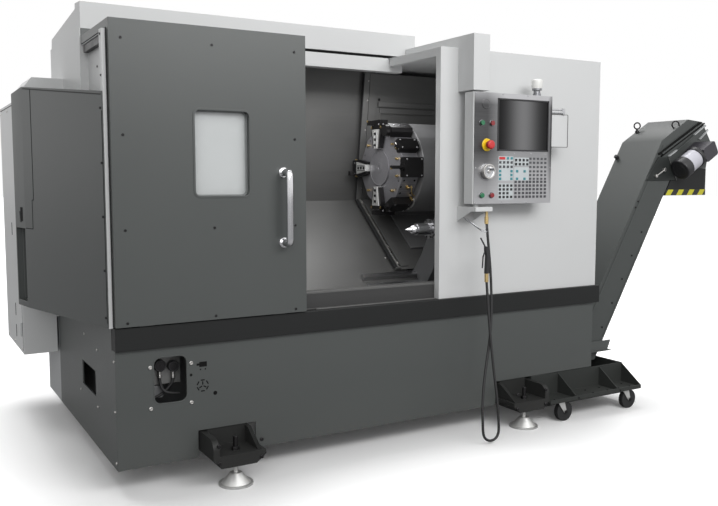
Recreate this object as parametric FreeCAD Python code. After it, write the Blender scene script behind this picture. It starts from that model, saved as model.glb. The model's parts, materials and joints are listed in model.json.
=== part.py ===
import FreeCAD, Part
import math
import os

os.makedirs("parts", exist_ok=True)
V = FreeCAD.Vector

# Driving sizes in mm. X runs right along the machine, Y back, Z up from the floor,
# all from the front left corner of the base. The last step moves the origin.
base_length = 2694.0
base_depth = 1600.0
dark_depth = 1240.0
skirt_bottom = 110.0
skirt_top = 611.0
sill_top = 708.0
sheet = 6.0
panel = 4.0
seat_gap = 0.3
run_gap = 0.05

# Slanted bed: u runs up and back along it, v stands off it, both from the spindle line.
spindle_y = 210.0
spindle_z = 1050.0
slant = math.radians(40.0)
bed_top = -480.0
rail_top = -445.0
fixed_cover = -361.5
moving_cover = -345.5
crease_u = 626.5
wall_lean = math.radians(8.0)

# Enclosure
hood_front = 480.0
hood_bottom = 1976.0
door_left = 0.0
door_right = 855.0
door_front = -30.0
door_bottom = 713.0
door_top = hood_bottom - 36.0
door_flange = hood_bottom - 71.0
door_back = 476.0
window_x = (340.0, 587.0)
window_z = (1238.0, 1600.0)
window_round = 25.0
window_set_back = 35.0
jamb_x = 1612.0
right_x = base_length + 13.0
roof_top = hood_bottom - 15.0
header_top = hood_bottom - 14.0
header_bottom = hood_bottom - 86.0
wall_top = hood_bottom - 76.0
cover_top = hood_bottom - 22.0
hood_right = 1783.0
wall_back = dark_depth - 45.0

# Turret, carriage and tailstock
turret_u = 505.0
turret_front = 1640.0
disc_back = 1745.0
turret_face = 1630.0
disc_flat = 212.0
face_flat = 104.0
swing = 268.0
drum_r = 250.0
neck_u = (472.0, 600.0)
neck_low = -358.0
cover_low_u = 40.0
ledge_u = 30.0
apron_y = 41.0
stations = 12
carriage_left = 1650.0
carriage_right = base_length - 164.0
neck_x = (1830.0, carriage_right - 240.0)
saddle_x = (neck_x[0] - 30.0, carriage_right - 20.0)
moving_top = hood_bottom - 50.0
cover_right = base_length - 104.0
fixed_cover_right = 1740.0
centre_tip = 1545.0
quill_r = 40.0

carriage_rail_u = (42.0, 462.0)
tailstock_way_u = (-85.0, -13.0)

# Pendant
post_x = (1719.0, 1818.0)
post_front = -124.0
arm_top = roof_top + 56.0
swivel_x = 1768.0
swivel_y = -88.0
case_x = (1722.0, 2232.0)
case_z = (1188.0, 1737.0)
case_back = -52.0
plate_back = -122.0
plate_front = -126.0
screen_x = (1877.0, 2203.0)
screen_z = (1458.0, 1706.0)
pin_r = 15.0
button_r = 12.0
stem_r = 6.0
button_spots = {
    "power_on_button": (1771.0, 1587.0),
    "power_off_button": (1834.0, 1587.0),
    "cycle_start_button": (1774.0, 1231.0),
    "feed_hold_button": (1836.0, 1231.0),
}
lip_z = 1152.0
stop_spot = (1804.0, 1480.0)
jog_spot = (1806.0, 1349.0)

# Feet, tank and casters
foot_y = -92.0
rear_foot_y = 1060.0
foot_left = 478.0
foot_right = 2108.0
bracket_bottom = 97.0
bracket_top = 150.0
casting_bottom = 236.0
pan_thick = 6.0
stud_r = 10.0
pad_r = 75.0
tank_x = (2232.0, base_length + 243.0)
tank_top = 235.7
tray_front = -150.0
tray_floor = 123.0
wheel_r = 54.0
wheel_width = 28.0
caster_y = -118.0
caster_x = (2332.0, 2830.0)
caster_trail = 34.0

# Conveyor, 60 degrees up, between two side plates
conv_y = (100.0, 410.0)
conv_wall = 4.0
conv_bottom = 242.3
conv_trough = 450.0
conv_left = 700.0
climb = math.tan(math.radians(60.0))
low_start = base_length + 130.0
high_start = base_length + 26.0
shaft_x = base_length + 946.0
shaft_z = 1480.0
belt_thick = 12.0
belt_turn = 52.0
belt_gap = 0.9
motor_y = 33.0


def box(x0, x1, y0, y1, z0, z1):
    return Part.makeBox(x1 - x0, y1 - y0, z1 - z0, V(x0, y0, z0))


def outline(points):
    return Part.Face(Part.makePolygon(points + [points[0]]))


def along_x(yz, x0, x1):
    return outline([V(x0, y, z) for y, z in yz]).extrude(V(x1 - x0, 0, 0))


def along_y(xz, y0, y1):
    return outline([V(x, y0, z) for x, z in xz]).extrude(V(0, y1 - y0, 0))


def along_z(xy, z0, z1):
    return outline([V(x, y, z0) for x, y in xy]).extrude(V(0, 0, z1 - z0))


def ring_points(r, sides):
    # corners of an even-sided round, which keeps small round pieces light
    turns = [2.0 * math.pi * (k + 0.5) / sides for k in range(sides)]
    return [(r * math.cos(t), r * math.sin(t)) for t in turns]


def rod_x(x0, x1, y, z, r, sides=0):
    if sides:
        return along_x([(y + a, z + b) for a, b in ring_points(r, sides)], x0, x1)
    return Part.makeCylinder(r, x1 - x0, V(x0, y, z), V(1, 0, 0))


def rod_y(y0, y1, x, z, r, sides=0):
    if sides:
        return along_y([(x + a, z + b) for a, b in ring_points(r, sides)], y0, y1)
    return Part.makeCylinder(r, y1 - y0, V(x, y0, z), V(0, 1, 0))


def rod_z(z0, z1, x, y, r, sides=0):
    if sides:
        return along_z([(x + a, y + b) for a, b in ring_points(r, sides)], z0, z1)
    return Part.makeCylinder(r, z1 - z0, V(x, y, z0), V(0, 0, 1))


def between(low, high):
    # the solid between two matching outlines, with a flat side for each edge
    faces = [outline(low), outline(high)]
    for k in range(len(low)):
        n = (k + 1) % len(low)
        faces.append(outline([low[k], low[n], high[n], high[k]]))
    return Part.makeSolid(Part.makeShell(faces))


def taper_x(x0, x1, y, z, r0, r1, sides):
    # a round that narrows along X
    low = [V(x0, y + a, z + b) for a, b in ring_points(r0, sides)]
    return between(low, [V(x1, y + a, z + b) for a, b in ring_points(r1, sides)])


def taper_z(z0, z1, x, y, r0, r1, sides):
    low = [V(x + a, y + b, z0) for a, b in ring_points(r0, sides)]
    return between(low, [V(x + a, y + b, z1) for a, b in ring_points(r1, sides)])


def soft_corners(a0, a1, b0, b1, r, steps=4):
    # a rectangle with rounded corners
    points = []
    centres = [(a1 - r, b1 - r, 0), (a0 + r, b1 - r, 90), (a0 + r, b0 + r, 180), (a1 - r, b0 + r, 270)]
    for ca, cb, start in centres:
        for k in range(steps + 1):
            t = math.radians(start + 90.0 * k / steps)
            points.append((ca + r * math.cos(t), cb + r * math.sin(t)))
    return points


def bore_r(r, sides):
    # corner radius of a flat-sided bore in which a round of radius r runs freely
    return (r + run_gap) / math.cos(math.pi / sides)


def join(shapes):
    body = shapes[0]
    for other in shapes[1:]:
        body = body.fuse(other)
    return body.removeSplitter()


def less(shape, cutters):
    for cutter in cutters:
        shape = shape.cut(cutter)
    return shape


def on_slant(u, v):
    y = spindle_y + u * math.cos(slant) - v * math.sin(slant)
    z = spindle_z + u * math.sin(slant) + v * math.cos(slant)
    return (y, z)


def slab(x0, x1, u0, u1, v0, v1):
    corners = [on_slant(u0, v0), on_slant(u1, v0), on_slant(u1, v1), on_slant(u0, v1)]
    return along_x(corners, x0, x1)


def leaning(point, top_z, out):
    # the point reached on the back wall at top_z, and the same one moved out of the wall
    rise = top_z - point[1]
    return (point[0] - rise * math.tan(wall_lean) + out, top_z)


def turned(shape, angle, x=0.0):
    # turned about the turret's own axis, clockwise as seen from the left end
    shape = shape.copy()
    y, z = on_slant(turret_u, 0.0)
    shape.rotate(V(x, y, z), V(1, 0, 0), angle)
    return shape


# ---- base ----

def bed_casting():
    foot_u = (430.0 - on_slant(0.0, bed_top)[0]) / math.cos(slant)
    profile = [
        (430.0, casting_bottom),
        on_slant(foot_u, bed_top),
        on_slant(600.0, bed_top),
        (wall_back - 65.0, on_slant(600.0, bed_top)[1]),
        (wall_back - 65.0, casting_bottom),
    ]
    bed = along_x(profile, 80.0, cover_right + 10.0)
    ridge = slab(1400.0, cover_right + 10.0, -104.0, ledge_u, bed_top - 10.0, fixed_cover - panel)
    return join([bed, ridge])


def guide_ways():
    rails = [slab(620.0, cover_right, u, u + 35.0, bed_top, rail_top) for u in carriage_rail_u]
    ways = [slab(1420.0, cover_right, u, u + 30.0, fixed_cover, fixed_cover + 26.0) for u in tailstock_way_u]
    return Part.makeCompound(rails + ways)


def front_skirt():
    front = box(0.0, base_length, 0.0, sheet, skirt_bottom, skirt_top)
    side = box(base_length - sheet, base_length, 0.0, dark_depth, casting_bottom, skirt_top)
    pan = box(620.0, base_length - sheet, sheet, 430.0 - seat_gap, casting_bottom, casting_bottom + pan_thick)
    skirt = join([front, side, pan])
    service = along_y(soft_corners(159.0, 297.0, 372.0, 566.0, 28.0), -10.0, 20.0)
    cutters = [
        service,
        box(345.0, 611.0, -10.0, 20.0, 0.0, 230.0),
        box(1990.0, base_length + 1.0, -10.0, 20.0, 0.0, casting_bottom),
        box(base_length - sheet, base_length + 1.0, conv_y[0] - 8.0, conv_y[1] + 8.0, 0.0, 900.0),
    ]
    ledge = along_x([(60.0, 297.0), (92.0, 297.0), (92.0, 354.0), (88.0, 354.0), (88.0, 301.0), (60.0, 301.0)],
                    base_length - 90.0, base_length + 246.0)
    tip = base_length + 256.0
    slant_end = along_y([(tip - 35.0, 290.0), (tip, 290.0), (tip, 372.0)], 50.0, 100.0)
    return less(skirt, cutters).fuse(ledge.cut(slant_end))


def left_skirt():
    side = box(0.0, sheet, sheet + seat_gap, dark_depth, skirt_bottom, skirt_top)
    return side.cut(box(-5.0, 15.0, 375.0, 655.0, 340.0, 455.0))


def rear_skirt():
    back = box(0.0, base_length, base_depth - sheet, base_depth, skirt_bottom, 575.0)
    start = dark_depth + seat_gap
    left = box(0.0, sheet, start, base_depth, skirt_bottom, 575.0)
    right = box(base_length - sheet, base_length, start, base_depth, casting_bottom, 575.0)
    deck = box(0.0, base_length, start, base_depth, 571.0, 575.0)
    return join([back, left, right, deck])


def sill_rail():
    end = right_x + 19.0
    front = box(-2.0, end, -18.0, 40.0, skirt_top + seat_gap, sill_top)
    left = box(-2.0, 40.0, 40.0, wall_back, skirt_top + seat_gap, sill_top)
    right = box(end - 42.0, end, 40.0, wall_back, skirt_top + seat_gap, sill_top)
    rail = join([front, left, right])
    mouth = box(end - 126.0, end + 74.0, conv_y[0] - 8.0, conv_y[1] + 8.0, 500.0, 900.0)
    return rail.cut(mouth)


# ---- enclosure ----

def left_cover():
    front = (-25.0, -4.0)
    corner = (-219.0, 728.0)
    back = (-245.0, 870.0)
    plan = [front, corner, back, (-5.0, 870.0), (-5.0, 60.0), (-22.0, 56.0), (-22.0, -4.0)]
    solid = along_z(plan, 711.0, 1760.0)
    inner = [(-31.0, 60.0), (-214.0, 731.0), (-239.0, 865.0), (-10.0, 865.0), (-10.0, 60.0)]
    room = along_z(inner, 716.0, 1640.0)
    slope_cut = along_x([(-50.0, 1652.0), (728.0, 1732.0), (900.0, 1706.0), (900.0, 1800.0), (-50.0, 1800.0)],
                        -300.0, 50.0)
    latch = along_x([(775.0, 1160.0), (815.0, 1160.0), (806.0, 1110.0), (784.0, 1110.0)], -260.0, -200.0)
    shell = less(solid, [room, slope_cut, latch])
    backing = box(-215.0, -130.0, 734.0, 868.0, 730.0, 1090.0).common(solid)
    pocket = box(-260.0, -136.0, 742.0, 862.0, 738.0, 1082.0)
    return shell.fuse(backing).cut(pocket)


def rear_cabinet():
    back = base_depth + 276.0
    outer = box(-180.0, 1500.0, dark_depth + 2.0, back, 385.0, 1715.0)
    low = box(-10.0, 1600.0, dark_depth - 20.0, base_depth + 4.0, 300.0, 575.0 + seat_gap)
    room = box(-174.0, 1494.0, dark_depth + 8.0, back - 6.0, 581.0, 1709.0)
    rear_room = box(-174.0, 1494.0, base_depth + 10.0, back - 6.0, 391.0, 1709.0)
    return less(outer, [low, room, rear_room])


def left_enclosure():
    side_profile = [
        (hood_front - panel, sill_top + seat_gap),
        (hood_front - panel, hood_bottom - seat_gap),
        (wall_back, hood_bottom - seat_gap),
        (wall_back, sill_top + seat_gap),
    ]
    side = along_x(side_profile, -5.0, 0.0)
    inset = box(30.0, 34.0, 14.0, hood_front, sill_top + seat_gap, wall_top)
    step = box(-5.0, 34.0, hood_front - panel + seat_gap, hood_front, sill_top + seat_gap, hood_bottom - seat_gap)
    post = box(-20.0, -5.0, 0.0, 40.0, sill_top + seat_gap, wall_top)
    front = box(-5.0, door_right + 3.0, 14.0, 18.0, sill_top + seat_gap, wall_top)
    hem = box(door_right - 1.0, door_right + 3.0, 18.0, apron_y - seat_gap, sill_top + seat_gap, wall_top)
    back = box(-5.0, jamb_x - 2.0, wall_back - panel, wall_back, sill_top + seat_gap, hood_bottom - seat_gap)
    # light housing behind the dark end cover, with its corner cut off
    housing = along_y([(-4.0, sill_top + seat_gap), (-4.0, 1796.0), (-150.0, 1796.0), (-180.0, 1757.0),
                       (-180.0, sill_top + seat_gap)], 880.0, wall_back)
    return join([side, inset, step, post, front, hem, back, housing])


def right_enclosure():
    outer = box(jamb_x, right_x, 0.0, wall_back, sill_top + seat_gap, roof_top)
    room = box(jamb_x - 10.0, right_x - 5.0, 5.0, wall_back - 5.0, 600.0, roof_top - 5.0)
    post = box(jamb_x, jamb_x + 5.0, 0.0, apron_y - seat_gap, sill_top + seat_gap, roof_top)
    rail = box(jamb_x, jamb_x + 34.0, 0.0, 470.0, roof_top - 44.0, roof_top)
    mouth = box(right_x - 67.0, right_x + 93.0, conv_y[0] - 8.0, conv_y[1] + 8.0, 600.0, 716.0)
    shell = less(outer, [room, mouth])
    return join([shell, post, rail])


def hood():
    ridge_y = hood_front + 103.0
    profile = [
        (hood_front, hood_bottom), (hood_front, hood_bottom + 118.0), (ridge_y, hood_bottom + 125.0),
        (ridge_y, hood_bottom + 101.0), (wall_back - 15.0, hood_bottom + 51.0), (wall_back, hood_bottom),
    ]
    inner = [
        (hood_front + panel, wall_top), (hood_front + panel, hood_bottom + 114.0),
        (ridge_y - panel, hood_bottom + 120.5), (ridge_y - panel, hood_bottom + 97.0),
        (wall_back - 18.0, hood_bottom + 47.0), (wall_back - 5.0, wall_top),
    ]
    return along_x(profile, 0.0, hood_right).cut(along_x(inner, panel, hood_right - panel))


def header_beam():
    profile = [
        (hood_front + 1.0, header_bottom), (hood_front + 1.0, header_top), (hood_front + 46.0, header_top),
        (hood_front + 46.0, header_top - panel), (hood_front + 5.0, header_top - panel),
        (hood_front + 5.0, header_bottom + panel), (hood_front + 60.0, header_bottom + panel),
        (hood_front + 60.0, header_bottom),
    ]
    beam = along_x(profile, 0.0, jamb_x + 88.0)
    under_roof = box(jamb_x - 1.0, jamb_x + 188.0, hood_front - 80.0, hood_front + 120.0,
                     roof_top - 5.0 - seat_gap, hood_bottom + 24.0)
    return beam.cut(under_roof)


def way_cover():
    low = on_slant(-106.0, fixed_cover)
    low_under = on_slant(-106.0, fixed_cover - panel)
    bend = on_slant(640.0, fixed_cover)
    bend_under = (bend[0] + panel, bend[1] - 1.5)
    top = leaning(bend, cover_top, 0.0)
    top_under = leaning(bend, cover_top, panel)
    full = along_x([low, bend, top, top_under, bend_under, low_under], 600.0, fixed_cover_right)
    lower = slab(600.0, cover_right, -106.0, 26.0, fixed_cover - panel, fixed_cover)
    apron = box(600.0, cover_right, apron_y, apron_y + panel, 640.0, 790.0)
    lip = box(600.0, cover_right, apron_y, 92.0, 786.0, 790.0)
    chute_front = along_x([(88.0, 786.0), (92.0, 790.0), (96.0, 700.0), (92.0, 700.0)], 600.0, cover_right)
    bulkhead = box(596.0, 600.0, apron_y, wall_back - 15.0, 640.0, cover_top - 4.0)
    hole = rod_x(590.0, 610.0, spindle_y, spindle_z, 118.0)
    under = along_x([on_slant(-110.0, -364.0), on_slant(650.0, -364.0), (1250.0, 1200.0), (1250.0, 600.0),
                     (400.0, 600.0)], 590.0, 600.0)
    front_top = box(590.0, 610.0, 0.0, hood_front + 60.0 + panel, header_bottom - seat_gap,
                    cover_top + 46.0)
    plate = less(bulkhead, [hole, under, front_top])
    return join([full, lower, plate, apron, lip, chute_front])


# ---- door ----

def door_shell():
    front = box(door_left, door_right, door_front, door_front + panel, door_bottom, door_top)
    left = box(door_left, door_left + panel, door_front, -3.0, door_bottom, door_top)
    right = box(door_right - panel, door_right, door_front, -3.0, door_bottom, door_top)
    bottom = box(door_left, door_right, door_front, -3.0, door_bottom, door_bottom + panel)
    roof = box(door_left, door_right, door_front, door_back, door_top - panel, door_top)
    end_left = box(door_left, door_left + panel, -4.0, door_back, door_flange, door_top)
    end_right = box(door_right - panel, door_right, -4.0, door_back, door_flange, door_top)
    rear = box(door_left, door_right, door_back - panel, door_back, door_flange,
               hood_bottom - seat_gap)
    shoes = [box(x, x + 60.0, -16.0, -6.0, sill_top + seat_gap, door_bottom + 1.0) for x in (100.0, 700.0)]
    shell = join([front, left, right, bottom, roof, end_left, end_right, rear] + shoes)
    x0, x1 = window_x
    z0, z1 = window_z
    depth = door_front + window_set_back + 4.0
    frame = along_y(soft_corners(x0 - 3.0, x1 + 3.0, z0 - 3.0, z1 + 3.0, window_round + 3.0), door_front, depth)
    hole = along_y(soft_corners(x0, x1, z0, z1, window_round), door_front - 5.0, depth - 4.0)
    sight = along_y(soft_corners(x0 + 8.0, x1 - 8.0, z0 + 8.0, z1 - 8.0, 18.0), door_front - 5.0, depth + 5.0)
    return less(shell.fuse(frame), [hole, sight]).removeSplitter()


def door_window():
    x0, x1 = window_x
    z0, z1 = window_z
    y1 = door_front + window_set_back
    return along_y(soft_corners(x0 + 0.5, x1 - 0.5, z0 + 0.5, z1 - 0.5, window_round - 0.5), y1 - 6.0, y1)


def door_handle():
    x = 745.0
    low, high = 1030.0, 1340.0
    out = door_front - 62.0
    bend = 34.0
    path = [V(x, door_front, low)]
    for k in range(4):
        t = math.radians(30.0 * k)
        path.append(V(x, out + bend - bend * math.sin(t), low + bend - bend * math.cos(t)))
    for k in range(4):
        t = math.radians(30.0 * k)
        path.append(V(x, out + bend - bend * math.cos(t), high - bend + bend * math.sin(t)))
    path.append(V(x, door_front, high))
    corners = [V(x + p, door_front, low + q) for p, q in ring_points(13.5, 12)]
    bar = Part.makePolygon(path).makePipeShell([Part.makePolygon(corners + corners[:1])], True, False, 1)
    feet = [rod_y(door_front - 8.0, door_front, x, z, 19.0, 16) for z in (low, high)]
    return join([bar] + feet)


# ---- headstock ----

def headstock():
    barrel = rod_x(100.0, 560.0, spindle_y, spindle_z, 150.0, 36)
    saddle = along_x([on_slant(-118.0, bed_top), on_slant(300.0, bed_top), on_slant(200.0, -40.0),
                      on_slant(-118.0, -40.0)], 100.0, 560.0)
    bore = rod_x(90.0, 570.0, spindle_y, spindle_z, bore_r(70.0, 24), 24)
    return join([barrel, saddle]).cut(bore)


def chuck():
    shaft = rod_x(80.0, 570.0, spindle_y, spindle_z, 70.0, 24)
    nose = rod_x(562.0, 592.0, spindle_y, spindle_z, 88.0, 24)
    body = rod_x(592.0, 700.0, spindle_y, spindle_z, 105.0, 36)
    bore = rod_x(70.0, 710.0, spindle_y, spindle_z, 30.0, 16)
    return join([shaft, nose, body]).cut(bore)


def jaw(angle):
    step = box(700.0 + seat_gap, 720.0, -18.0, 18.0, 34.0, 92.0)
    tip = box(720.0, 745.0, -18.0, 18.0, 34.0, 66.0)
    block = join([step, tip])
    block.rotate(V(0, 0, 0), V(1, 0, 0), angle)
    block.translate(V(0, spindle_y, spindle_z))
    return block


# ---- carriage ----

def saddle():
    x0, x1 = saddle_x
    body = slab(x0, x1, ledge_u + 4.0, 520.0, -470.0, -392.0)
    grooves = [slab(x0 - 10.0, x1 + 10.0, u - seat_gap, u + 35.0 + seat_gap, -490.0, rail_top + seat_gap)
               for u in carriage_rail_u]
    web = slab(x1 - 44.0, x1 - 4.0, 60.0, 500.0, -400.0, moving_cover - panel)
    return less(join([body, web]), grooves)


def cover_line(out):
    # the moving cover's front line, moved out of it by the given distance
    low = on_slant(cover_low_u, moving_cover + out)
    bend = on_slant(crease_u - out, moving_cover + out)
    top = leaning(bend, moving_top, 0.0)
    return [low, bend, top]


def carriage_cover():
    front = cover_line(0.0)
    back = cover_line(-panel)
    plate = along_x(front + back[::-1], carriage_left, carriage_right)
    strip = along_x(cover_line(11.0) + front[::-1], carriage_left, carriage_left + 36.0)
    neck_gap = slab(neck_x[0] - 0.4, neck_x[1] + 0.4, 192.0, crease_u - 2.0, -420.0, -300.0)
    guides = [slab(x, x + 24.0, 120.0, crease_u - 6.0, neck_low, moving_cover)
              for x in (neck_x[0] - 24.4, neck_x[1] + 0.4)]
    return join([plate.cut(neck_gap), strip] + guides)


def turret_housing():
    y, z = on_slant(turret_u, 0.0)
    neck = slab(neck_x[0], neck_x[1], neck_u[0], neck_u[1], neck_low, -80.0)
    apron = slab(neck_x[0] - 4.0, neck_x[1] + 4.0, 192.0, neck_u[0] + 20.0, moving_cover + 2.0, moving_cover + 14.0)
    drum = rod_x(disc_back + 12.0, 1990.0, y, z, drum_r, 36)
    rim = taper_x(disc_back + 6.0, disc_back + 12.0, y, z, drum_r - 12.0, drum_r, 36)
    block = rod_x(1980.0, neck_x[1], y, z, 185.0, 24)
    cap = rod_x(neck_x[1], neck_x[1] + 60.0, y, z, 120.0, 24)
    hub = rod_x(disc_back + 0.5, disc_back + 7.0, y, z, 120.0, 24)
    return join([neck, apron, drum, rim, block, cap, hub])


def turret_disc():
    y, z = on_slant(turret_u, 0.0)
    r = disc_flat / math.cos(math.pi / stations)
    corner = math.pi / stations
    points = []
    for k in range(stations):
        a = 2.0 * math.pi * k / stations + corner
        points.append((y + r * math.sin(a), z + r * math.cos(a)))
    disc = along_x(points, turret_front, disc_back)
    ratio = face_flat / disc_flat
    wide = [V(turret_front, a, b) for a, b in points]
    narrow = [V(turret_face, y + (a - y) * ratio, z + (b - z) * ratio) for a, b in points]
    face = between(wide, narrow)
    hub = rod_x(turret_face - 4.0, turret_face + 1.0, y, z, face_flat - 8.0, 24)
    return join([disc, face, hub])


def rim_block(width, x0, x1, low, high, aside=0.0):
    y, z = on_slant(turret_u, 0.0)
    return box(x0, x1, y + aside - width / 2.0, y + aside + width / 2.0, z + low, z + high)


def rim_shape(plan, x0, x1):
    # a block whose outline across the turret is given from the station's middle line
    y, z = on_slant(turret_u, 0.0)
    return along_x([(y + a, z + b) for a, b in plan], x0, x1)


def turning_holder(angle, reach):
    # a block over the rim, with two arms down the face that grip the wedge, and a square tool
    x0 = turret_face - 26.0
    top = math.sqrt(swing ** 2 - 46.0 ** 2)
    block = rim_block(92.0, x0, turret_front + reach, disc_flat, top)
    arms = []
    for s in (-1.0, 1.0):
        plan = [(s * 20.0, face_flat + 4.0), (s * 34.0, face_flat + 4.0), (s * 50.0, disc_flat - 20.0),
                (s * 46.0, disc_flat + 2.0), (s * 36.0, disc_flat + 2.0)]
        arms.append(rim_shape(plan, x0, turret_face - seat_gap))
    shank = rim_block(25.0, x0 - 32.0, x0 + 20.0, top - 29.0, top - 4.0, 30.0)
    return turned(join([block] + arms + [shank]), angle)


def boring_holder(angle):
    # a barrel in front of the disc, carried by a block with sloped shoulders on the rim
    y, z = on_slant(turret_u, 0.0)
    top = swing - 3.5
    plan = [(-38.0, disc_flat), (-38.0, top - 18.0), (-24.0, top), (24.0, top), (38.0, top - 18.0), (38.0, disc_flat)]
    block = rim_shape(plan, turret_face - 22.0, disc_back)
    barrel = rod_x(turret_face - 46.0, turret_face - 10.0, y, z + top - 33.0, 32.0, 16)
    return turned(join([block, barrel]), angle)


def bar_holder(angle):
    # a wide block with a boring bar
    y, z = on_slant(turret_u, 0.0)
    block = rim_block(108.0, turret_front - 12.0, disc_back + 3.0, disc_flat, swing - 10.0)
    middle = z + disc_flat + 24.0
    nose = rod_x(turret_front - 20.0, turret_front, y, middle, 21.0, 14)
    bar = rod_x(turret_front - 88.0, turret_front - 10.0, y, middle, 10.0, 8)
    return turned(join([block, nose, bar]), angle)


def blank_holder(angle, width):
    block = rim_block(width, turret_front - 26.0, disc_back - 8.0, disc_flat, swing - 12.0)
    tool = rim_block(20.0, turret_front - 44.0, turret_front, swing - 40.0, swing - 20.0, -12.0)
    return turned(join([block, tool]), angle)


def tool_holders():
    items = [turning_holder(0.0, 12.0), turning_holder(-90.0, 30.0), turning_holder(180.0, 60.0)]
    items += [boring_holder(30.0), bar_holder(90.0), blank_holder(60.0, 64.0), blank_holder(150.0, 88.0)]
    return Part.makeCompound(items)


def wedge_clamps():
    items = []
    for angle in (0.0, -90.0, 180.0):
        plan = [(-18.0, face_flat + 2.0), (18.0, face_flat + 2.0), (35.0, disc_flat - seat_gap),
                (-35.0, disc_flat - seat_gap)]
        wedge = rim_shape(plan, turret_face - 32.0, turret_face - seat_gap)
        items.append(turned(wedge, angle))
    return Part.makeCompound(items)


def coolant_nozzles():
    y, z = on_slant(turret_u, 0.0)
    r = 180.0
    back = turret_face + (r - face_flat) / (disc_flat - face_flat) * (turret_front - turret_face)
    items = []
    for angle in (45.0, 75.0, 105.0, 135.0, -45.0, -135.0):
        boss = rod_x(back - 16.0, back - 0.9, y, z + r, 7.0, 8)
        items.append(turned(boss, angle))
    return Part.makeCompound(items)


# ---- tailstock ----

def tailstock_body():
    left, right = 1765.0, 2120.0
    profile = [on_slant(-104.0, -352.0), on_slant(32.0, -352.0), on_slant(32.0, -230.0),
               on_slant(62.0, -40.0), on_slant(-62.0, -40.0), on_slant(-104.0, -230.0)]
    column = along_x(profile, left, right)
    barrel = rod_x(left, right + 30.0, spindle_y, spindle_z, 72.0, 32)
    grooves = [slab(left - 5.0, right + 5.0, u - seat_gap, u + 30.0 + seat_gap, -370.0,
                    fixed_cover + 26.0 + seat_gap) for u in tailstock_way_u]
    bore = rod_x(left - 5.0, right - 20.0, spindle_y, spindle_z, bore_r(quill_r, 24), 24)
    return less(join([column, barrel]), grooves + [bore])


def tailstock_quill():
    quill = rod_x(1694.0, 1990.0, spindle_y, spindle_z, quill_r, 24)
    socket = rod_x(1684.0, 1770.0, spindle_y, spindle_z, bore_r(14.0, 12), 12)
    return quill.cut(socket)


def live_centre():
    shank = rod_x(1690.0, 1762.0, spindle_y, spindle_z, 14.0, 12)
    body = rod_x(1612.0, 1692.0, spindle_y, spindle_z, 32.0, 24)
    collar = rod_x(1594.0, 1612.0, spindle_y, spindle_z, 24.0, 20)
    point = taper_x(centre_tip, 1594.0, spindle_y, spindle_z, 0.8, 17.0, 16)
    return join([shank, body, collar, point])


# ---- pendant ----

def pendant_arm():
    arm = box(post_x[0], post_x[1], post_front, hood_front - seat_gap, roof_top + seat_gap, arm_top)
    post = box(post_x[0], post_x[1], post_front, -seat_gap, case_z[1] + 8.0, arm_top)
    pin = rod_z(case_z[1] - 38.0, case_z[1] + 10.0, swivel_x, swivel_y, pin_r, 16)
    return join([arm, post, pin])


def pendant_bracket():
    back_y = -seat_gap
    profile = [(back_y, 1098.0), (back_y, 1174.0), (-152.0, 1174.0), (-152.0, lip_z), (-116.0, lip_z)]
    wedge = along_x(profile, post_x[0], post_x[1] + 8.0)
    room = along_x([(back_y, 1080.0), (back_y, 1168.0), (-112.0, 1168.0), (-112.0, 1080.0)], post_x[0] + 5.0, 1821.0)
    pin = rod_z(1168.0, case_z[0] + 38.0, swivel_x, swivel_y, pin_r, 16)
    back = box(post_x[0], post_x[1] + 8.0, -6.0, back_y, 1098.0, 1174.0)
    return join([wedge.cut(room), back, pin])


def pendant_case():
    x0, x1 = case_x
    z0, z1 = case_z
    solid = box(x0, x1, plate_back, case_back, z0, z1)
    wide = bore_r(pin_r, 16)
    cutters = [rod_z(z1 - 40.0, z1 + 5.0, swivel_x, swivel_y, wide, 16),
               rod_z(z0 - 5.0, z0 + 40.0, swivel_x, swivel_y, wide, 16)]
    return less(solid, cutters)


def pendant_faceplate():
    plate = box(case_x[0] + 5.0, case_x[1], plate_front, plate_back, case_z[0], case_z[1])
    cutters = [box(screen_x[0] - 0.5, screen_x[1] + 0.5, plate_front - 5.0, plate_back + 5.0,
                   screen_z[0] - 0.5, screen_z[1] + 0.5)]
    holes = [(spot, stem_r) for spot in button_spots.values()]
    holes += [(stop_spot, 10.0), (jog_spot, 8.0)]
    for spot, r in holes:
        cutters.append(rod_y(plate_front - 5.0, plate_back + 5.0, spot[0], spot[1], bore_r(r, 12), 12))
    return less(plate, cutters)


def pendant_screen():
    return box(screen_x[0], screen_x[1], plate_front + 1.0, plate_back, screen_z[0], screen_z[1])


def push_button(x, z):
    stem = rod_y(plate_front - 4.0, plate_front + 0.8, x, z, stem_r, 12)
    head = rod_y(plate_front - 12.0, plate_front - 3.5, x, z, button_r, 16)
    return join([head, stem])


def stop_knob():
    x, z = stop_spot
    stem = rod_y(plate_front - 16.0, plate_front + 0.8, x, z, 10.0, 12)
    head = rod_y(plate_front - 34.0, plate_front - 15.0, x, z, 20.0, 20)
    return join([head, stem])


def jog_wheel():
    x, z = jog_spot
    rim = rod_y(plate_front - 24.0, plate_front - 2.0, x, z, 37.0, 28)
    dish = rod_y(plate_front - 30.0, plate_front - 17.0, x, z, 30.0, 28)
    hub = rod_y(plate_front - 24.0, plate_back - 0.3, x, z, 8.0, 12)
    knob = rod_y(plate_front - 36.0, plate_front - 16.0, x + 13.0, z + 14.0, 7.0, 10)
    return join([rim.cut(dish), hub, knob])


def document_holder():
    right = case_x[1]
    plate = along_y([(right + 12.0, 1478.0), (right + 131.0, 1478.0), (right + 104.0, 1656.0),
                     (right + 12.0, 1656.0)], -107.0, -103.0)
    bar = rod_x(right, right + 102.0, -105.0, 1664.0, 9.0, 12)
    return join([plate, bar])


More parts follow.
